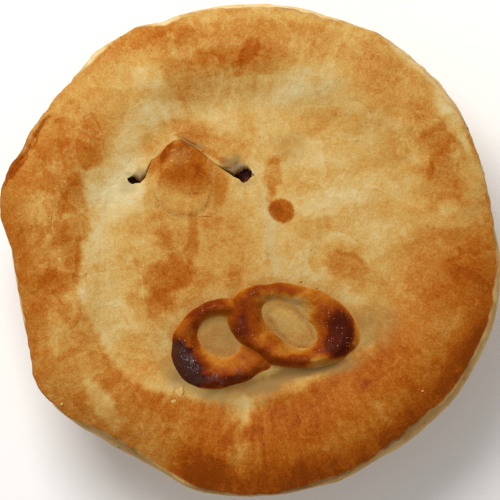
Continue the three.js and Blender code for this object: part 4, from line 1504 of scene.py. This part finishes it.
# Leaves of the top layers that fade in and end in a crisp edge: mm across and along, how many of them
# the noise passes between 0 and 1, and their tone
Terrace = namedtuple("Terrace", "across along steps tone")
PUFF_TERRACES = [
    Terrace(16.0, 16.0, 7.0, 0.09),
    Terrace(5.0, 11.0, 4.0, 0.05),
    Terrace(11.0, 5.0, 4.0, 0.05),
]
FIBRE_SIZE = 2.2
FIBRE_TONE = 0.09  # lighter and darker
LEAF_SIZE = 8.0  # mm across one torn leaf of the top layer
LEAF_WARP = 3.2  # mm by which noise bends its outline
LEAF_TONE = 0.09  # between the palest leaf and the darkest
TORN_WIDTH = 0.04  # of the line along a torn edge, as a share of the leaf
TORN_TONE = -0.05
CRISP = 1.25  # how much stronger the patches are where the crust is brown
PATCH_RELIEF = 0.35  # share of the patches' tone in the bump
FLECK_SPACING = 4.5


def puff_pastry(tree):
    place = add(tree, "TexCoord", output="Object")
    browning_and_shade, cut, shade_and_dull, leafy, border, stretched = (
        add(tree, "Attribute", output="Fac", attribute_name=name)
        for name in ("browning_and_shade", "cut", "shade_and_dull", "leafy", "border", "stretched")
    )

    radial = add(tree, "Attribute", output="Vector", attribute_name="radial")
    fibre = add(
        tree,
        "TexNoise",
        {"Vector": radial, "Scale": per_mm(FIBRE_SIZE), "Detail": 4.0, "Roughness": 0.6},
    )
    fibre = add(
        tree,
        "MapRange",
        {
            "Value": fibre,
            "From Min": 0.25,
            "From Max": 0.75,
            "To Min": -FIBRE_TONE,
            "To Max": FIBRE_TONE,
        },
    )
    fibre = add(tree, "Math", {0: fibre, 1: stretched}, operation="MULTIPLY")

    warp = add(tree, "TexNoise", {"Vector": place, "Scale": per_mm(3.0), "Detail": 2.0}, "Color")
    warped = add(
        tree,
        "VectorMath",
        {0: warp, 1: (LEAF_WARP * MM,) * 3, 2: place},
        operation="MULTIPLY_ADD",
    )
    torn_leaves = {"Vector": warped, "Scale": per_mm(LEAF_SIZE)}
    leaf = add(tree, "TexVoronoi", torn_leaves, "Color")
    leaf = add(tree, "SeparateColor", {0: leaf})
    patches = add(tree, "MapRange", {"Value": leaf, "To Min": -LEAF_TONE / 2, "To Max": LEAF_TONE / 2})
    for mottling in PUFF_MOTTLING:
        noise = add(
            tree,
            "TexNoise",
            {
                "Vector": place,
                "Scale": per_mm(mottling.size),
                "Detail": 3.0,
                "Roughness": 0.6,
                "Distortion": 0.3,
            },
        )
        patch = add(
            tree,
            "MapRange",
            {
                "Value": noise,
                "From Min": mottling.low,
                "From Max": mottling.high,
                "To Min": -mottling.tone / 2,
                "To Max": mottling.tone / 2,
            },
        )
        patches = add(tree, "Math", {0: patches, 1: patch}, operation="ADD")

    leaves = 0.0
    for terrace in PUFF_TERRACES:
        drawn = add(
            tree,
            "VectorMath",
            {0: place, 1: (per_mm(terrace.across), per_mm(terrace.along), per_mm(terrace.across))},
            operation="MULTIPLY",
        )
        noise = add(
            tree,
            "TexNoise",
            {"Vector": drawn, "Scale": 1.0, "Detail": 4.0, "Roughness": 0.5, "Distortion": 0.5},
        )
        rise = add(tree, "Math", {0: noise, 1: terrace.steps}, operation="MULTIPLY")
        rise = add(tree, "Math", {0: rise}, operation="FRACT")
        veil = add(
            tree,
            "MapRange",
            {"Value": rise, "To Min": -terrace.tone / 2, "To Max": terrace.tone / 2},
        )
        leaves = add(tree, "Math", {0: leaves, 1: veil}, operation="ADD")
    sunk = add(
        tree,
        "MapRange",
        {"Value": browning_and_shade, "From Min": 0.68, "From Max": 0.88, "To Min": 1.0, "To Max": 0.4},
    )
    for share in (sunk, leafy):
        leaves = add(tree, "Math", {0: leaves, 1: share}, operation="MULTIPLY")
    patches = add(tree, "Math", {0: patches, 1: leaves}, operation="ADD")

    torn = add(tree, "TexVoronoi", torn_leaves, feature="DISTANCE_TO_EDGE")
    torn = add(
        tree,
        "MapRange",
        {"Value": torn, "From Min": 0.0, "From Max": TORN_WIDTH, "To Min": TORN_TONE, "To Max": 0.0},
    )
    lifted = add(tree, "TexNoise", {"Vector": place, "Scale": per_mm(7.0), "Detail": 2.0})
    lifted = add(tree, "MapRange", {"Value": lifted, "From Min": 0.48, "From Max": 0.58})
    brittle = add(tree, "MapRange", {"Value": border, "To Min": 0.3, "To Max": 1.0})
    lifted = add(tree, "Math", {0: lifted, 1: brittle}, operation="MULTIPLY")
    patches = add(tree, "Math", {0: torn, 1: lifted, 2: patches}, operation="MULTIPLY_ADD")

    height = add(tree, "Math", {0: fibre, 1: leaves}, operation="ADD")
    height = add(tree, "Math", {0: patches, 1: PATCH_RELIEF, 2: height}, operation="MULTIPLY_ADD")
    bump = add(tree, "Bump", {"Height": height, "Strength": 0.5, "Distance": 1.0 * MM})

    crisp = add(
        tree,
        "MapRange",
        {"Value": browning_and_shade, "From Min": 0.4, "From Max": 0.65, "To Min": 1.0, "To Max": CRISP},
    )
    tone = add(tree, "Math", {0: browning_and_shade, 1: fibre}, operation="ADD")
    tone = add(tree, "Math", {0: patches, 1: crisp, 2: tone}, operation="MULTIPLY_ADD")
    crust = add(tree, "ValToRGB", {"Fac": tone}, stops=PUFF_COLOURS)
    crumb = add(tree, "ValToRGB", {"Fac": tone}, stops=CUT_COLOURS)
    fleck = add(tree, "TexVoronoi", {"Vector": place, "Scale": per_mm(FLECK_SPACING)})
    fleck = add(
        tree,
        "MapRange",
        {"Value": fleck, "From Min": 0.025, "From Max": 0.06, "To Min": 0.6, "To Max": 0.0},
    )
    colour = crust
    # Towards olive grey for painted shade, towards cut dough on cut faces and towards dark flecks
    for factor, over in ((shade_and_dull, linear(SHADE_AND_DULL_COLOUR)), (cut, crumb), (fleck, linear(FLECK_COLOUR))):
        colour = add(tree, "Mix", {"Factor": factor, 6: colour, 7: over}, 2, data_type="RGBA")

    roughness = add(
        tree,
        "MapRange",
        {"Value": tone, "From Min": 0.2, "From Max": 0.9, "To Min": 0.62, "To Max": 0.46},
    )
    shine = add(tree, "MapRange", {"Value": cut, "To Min": 0.04, "To Max": 0.0})
    return add(
        tree,
        "BsdfPrincipled",
        {
            "Base Color": colour,
            "Roughness": roughness,
            "Normal": bump,
            "IOR": 1.45,
            "Specular IOR Level": shine,
        },
    )


# The rings' pastry caramelised in egg wash: amber to burnt black-brown, glossy, with a bubbled skin
# and painted highlights, small pale specks, on its darker parts.
RING_COLOURS = [
    (0.2, "#c19f62"),
    (0.3, "#bb8a40"),
    (0.4, "#b06c1e"),
    (0.5, "#984c0c"),
    (0.6, "#803405"),
    (0.74, "#5e1e05"),
    (0.92, "#38120b"),
]
# Colour of the painted highlights on the rings
PAINTED_SPARKLE_COLOUR = "#d9b98c"
BUBBLE_SIZE = 0.6
RING_MOTTLE_TONE = 0.26
RING_GRAIN_TONE = 0.16


def ring_pastry(tree):
    place = add(tree, "TexCoord", output="Object")
    browning_and_shade, glaze = (
        add(tree, "Attribute", output="Fac", attribute_name=name) for name in ("browning_and_shade", "wet")
    )
    mottle = add(
        tree,
        "TexNoise",
        {"Vector": place, "Scale": per_mm(2.2), "Detail": 6.0, "Roughness": 0.65, "Distortion": 0.6},
    )
    grain = add(
        tree,
        "TexNoise",
        {"Vector": place, "Scale": per_mm(0.5), "Detail": 3.0, "Roughness": 0.6},
    )
    tone = mottled(tree, browning_and_shade, [(mottle, RING_MOTTLE_TONE), (grain, RING_GRAIN_TONE)])
    colour = add(tree, "ValToRGB", {"Fac": tone}, stops=RING_COLOURS)

    # Painted highlights: pale specks in clusters over the darker parts, standing for glints on bubbles
    bubble = add(tree, "TexVoronoi", {"Vector": place, "Scale": per_mm(BUBBLE_SIZE)})
    painted_sparkle = add(
        tree,
        "MapRange",
        {"Value": bubble, "From Min": 0.1, "From Max": 0.24, "To Min": 1.0, "To Max": 0.0},
    )
    cluster = add(tree, "TexNoise", {"Vector": place, "Scale": per_mm(4.0), "Detail": 2.0})
    cluster = add(tree, "MapRange", {"Value": cluster, "From Min": 0.42, "From Max": 0.56})
    chosen = add(tree, "Math", {0: bubble.node.outputs["Color"], 1: 0.45}, operation="GREATER_THAN")
    dark = add(
        tree,
        "MapRange",
        {"Value": browning_and_shade, "From Min": 0.5, "From Max": 0.66, "To Min": 0.0, "To Max": 0.8},
    )
    for share in (cluster, chosen, dark):
        painted_sparkle = add(tree, "Math", {0: painted_sparkle, 1: share}, operation="MULTIPLY")
    painted_sparkle_colour = linear(PAINTED_SPARKLE_COLOUR)
    colour = add(tree, "Mix", {"Factor": painted_sparkle, 6: colour, 7: painted_sparkle_colour}, 2, data_type="RGBA")

    blister = add(tree, "TexNoise", {"Vector": place, "Scale": per_mm(BUBBLE_SIZE), "Detail": 2.0})
    bump = add(tree, "Bump", {"Height": blister, "Strength": 0.5, "Distance": 0.3 * MM})
    wrinkle = add(tree, "TexNoise", {"Vector": place, "Scale": per_mm(1.2), "Detail": 3.0})
    wrinkled = add(tree, "Bump", {"Height": wrinkle, "Strength": 1.0, "Distance": 0.8 * MM})
    return add(
        tree,
        "BsdfPrincipled",
        {
            "Base Color": colour,
            "Roughness": 0.45,
            "Normal": bump,
            "IOR": 1.45,
            "Specular IOR Level": 0.05,
            "Coat Weight": glaze,
            "Coat Roughness": 0.15,
            "Coat Normal": wrinkled,
        },
    )


# Shortcrust baked in a tin: dry and sandy, tan with crisp-edged darker patches where it touched the
# tin, and pitted.
CASE_COLOURS = [
    (0.0, "#e3cfa4"),
    (0.3, "#d6b67a"),
    (0.55, "#c49454"),
    (0.8, "#a26d36"),
    (1.0, "#754a26"),
]
CASE_MOTTLE_TONE = 0.4
SAND_TONE = 0.16
CONTACT_TONE = 0.06  # lighter and darker
PIT_TONE = 0.18


def shortcrust(tree):
    place = add(tree, "TexCoord", output="Object")
    browning_and_shade = add(tree, "Attribute", output="Fac", attribute_name="browning_and_shade")
    mottle = add(
        tree,
        "TexNoise",
        {"Vector": place, "Scale": per_mm(5.0), "Detail": 6.0, "Roughness": 0.65},
    )
    sand = add(
        tree,
        "TexNoise",
        {"Vector": place, "Scale": per_mm(0.6), "Detail": 3.0, "Roughness": 0.6},
    )
    tone = mottled(tree, browning_and_shade, [(mottle, CASE_MOTTLE_TONE), (sand, SAND_TONE)])
    contact = add(
        tree,
        "TexNoise",
        {"Vector": place, "Scale": per_mm(9.0), "Detail": 6.0, "Roughness": 0.6, "Distortion": 0.6},
    )
    contact = add(
        tree,
        "MapRange",
        {
            "Value": contact,
            "From Min": 0.44,
            "From Max": 0.56,
            "To Min": -CONTACT_TONE,
            "To Max": CONTACT_TONE,
        },
    )
    tone = add(tree, "Math", {0: tone, 1: contact}, operation="ADD")
    pit = add(tree, "TexVoronoi", {"Vector": place, "Scale": per_mm(2.4)})
    pit = add(
        tree,
        "MapRange",
        {"Value": pit, "From Min": 0.06, "From Max": 0.2, "To Min": 1.0, "To Max": 0.0},
    )
    tone = add(tree, "Math", {0: pit, 1: PIT_TONE, 2: tone}, operation="MULTIPLY_ADD")
    colour = add(tree, "ValToRGB", {"Fac": tone}, stops=CASE_COLOURS)
    height = mottle
    for pattern, depth in ((sand, 0.5), (pit, -0.6)):
        height = add(tree, "Math", {0: pattern, 1: depth, 2: height}, operation="MULTIPLY_ADD")
    bump = add(tree, "Bump", {"Height": height, "Strength": 0.6, "Distance": 0.5 * MM})
    return add(
        tree,
        "BsdfPrincipled",
        {"Base Color": colour, "Roughness": 0.75, "Normal": bump, "Specular IOR Level": 0.3},
    )


# Braised beef in thick gravy: dark red-brown, wet and shiny, with paler fibres of meat.
GRAVY_COLOURS = [(0.35, "#5a261f"), (0.55, "#783628"), (0.7, "#9e583e")]


def gravy(tree):
    place = add(tree, "TexCoord", output="Object")
    meat = add(tree, "TexNoise", {"Vector": place, "Scale": per_mm(3.0), "Detail": 4.0})
    colour = add(tree, "ValToRGB", {"Fac": meat}, stops=GRAVY_COLOURS)
    bump = add(tree, "Bump", {"Height": meat, "Strength": 0.5, "Distance": 0.6 * MM})
    return add(
        tree,
        "BsdfPrincipled",
        {"Base Color": colour, "Roughness": 0.3, "Normal": bump, "Specular IOR Level": 0.2},
    )


# Matt pale card, as a studio floor
def pale_card(tree):
    return add(tree, "BsdfPrincipled", {"Base Color": linear("#f6f5f2"), "Roughness": 0.9})


# The pie

puff = new_material("puff_pastry_egg_washed_baked", puff_pastry)
lid = lid_piece(puff)
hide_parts("lid")

strip = new_material("pastry_strip_caramelised_egg_wash", ring_pastry)
rings = [ring_piece(ring, strip) for ring in RINGS]
for piece, ring in zip(rings, RINGS):
    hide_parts(ring.node)

case = case_piece(new_material("shortcrust_tin_baked", shortcrust))
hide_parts("case")

filling = filling_piece(new_material("braised_steak_in_gravy", gravy))
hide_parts("filling")

crumbs = crumbs_piece(puff)

tears = tears_piece(lid, puff)

for piece in [lid, *rings, case, filling, crumbs, tears]:
    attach(piece, "root")


# Floor, light and camera

FLOOR_SIDE = 6000.0
floor_mesh = bpy.data.meshes.new("floor")
half = FLOOR_SIDE / 2 * MM
corners = [(-half, -half, 0), (half, -half, 0), (half, half, 0), (-half, half, 0)]
floor_mesh.from_pydata(corners, [], [(0, 1, 2, 3)])
floor_mesh.materials.append(new_material("matt_pale_card", pale_card))
floor = bpy.data.objects.new("floor", floor_mesh)
bpy.context.scene.collection.objects.link(floor)

world = bpy.data.worlds.new("studio")
bpy.context.scene.world = world
world.use_nodes = True
world.node_tree.nodes["Background"].inputs["Color"].default_value = linear("#ffffff")
world.node_tree.nodes["Background"].inputs["Strength"].default_value = 0.45


def soft_light(name, place, side, watts):
    """A square area light at a place in metres, turned to face the pie."""
    light = bpy.data.lights.new(name, "AREA")
    light.size = side
    light.energy = watts
    lamp = bpy.data.objects.new(name, light)
    lamp.location = place
    toward = Vector((0, 0, CASE_HEIGHT * MM)) - Vector(place)
    lamp.rotation_euler = toward.to_track_quat("-Z", "Y").to_euler()
    bpy.context.scene.collection.objects.link(lamp)


soft_light("key", place=(-0.2, 0.42, 0.62), side=0.38, watts=5.5)

FRAME_WIDTH = PHOTO_SIDE * PHOTO_PIXEL  # mm across the picture, at the level of the rim
CAMERA_ABOVE_RIM = 900.0
SENSOR = 36.0
camera = bpy.data.cameras.new("camera")
camera.sensor_width = SENSOR
camera.lens = SENSOR * CAMERA_ABOVE_RIM / FRAME_WIDTH
eye = bpy.data.objects.new("camera", camera)
eye.location = (0, 0, (CASE_HEIGHT + CAMERA_ABOVE_RIM) * MM)
bpy.context.scene.collection.objects.link(eye)
bpy.context.scene.camera = eye
bpy.context.scene.view_settings.view_transform = "Standard"
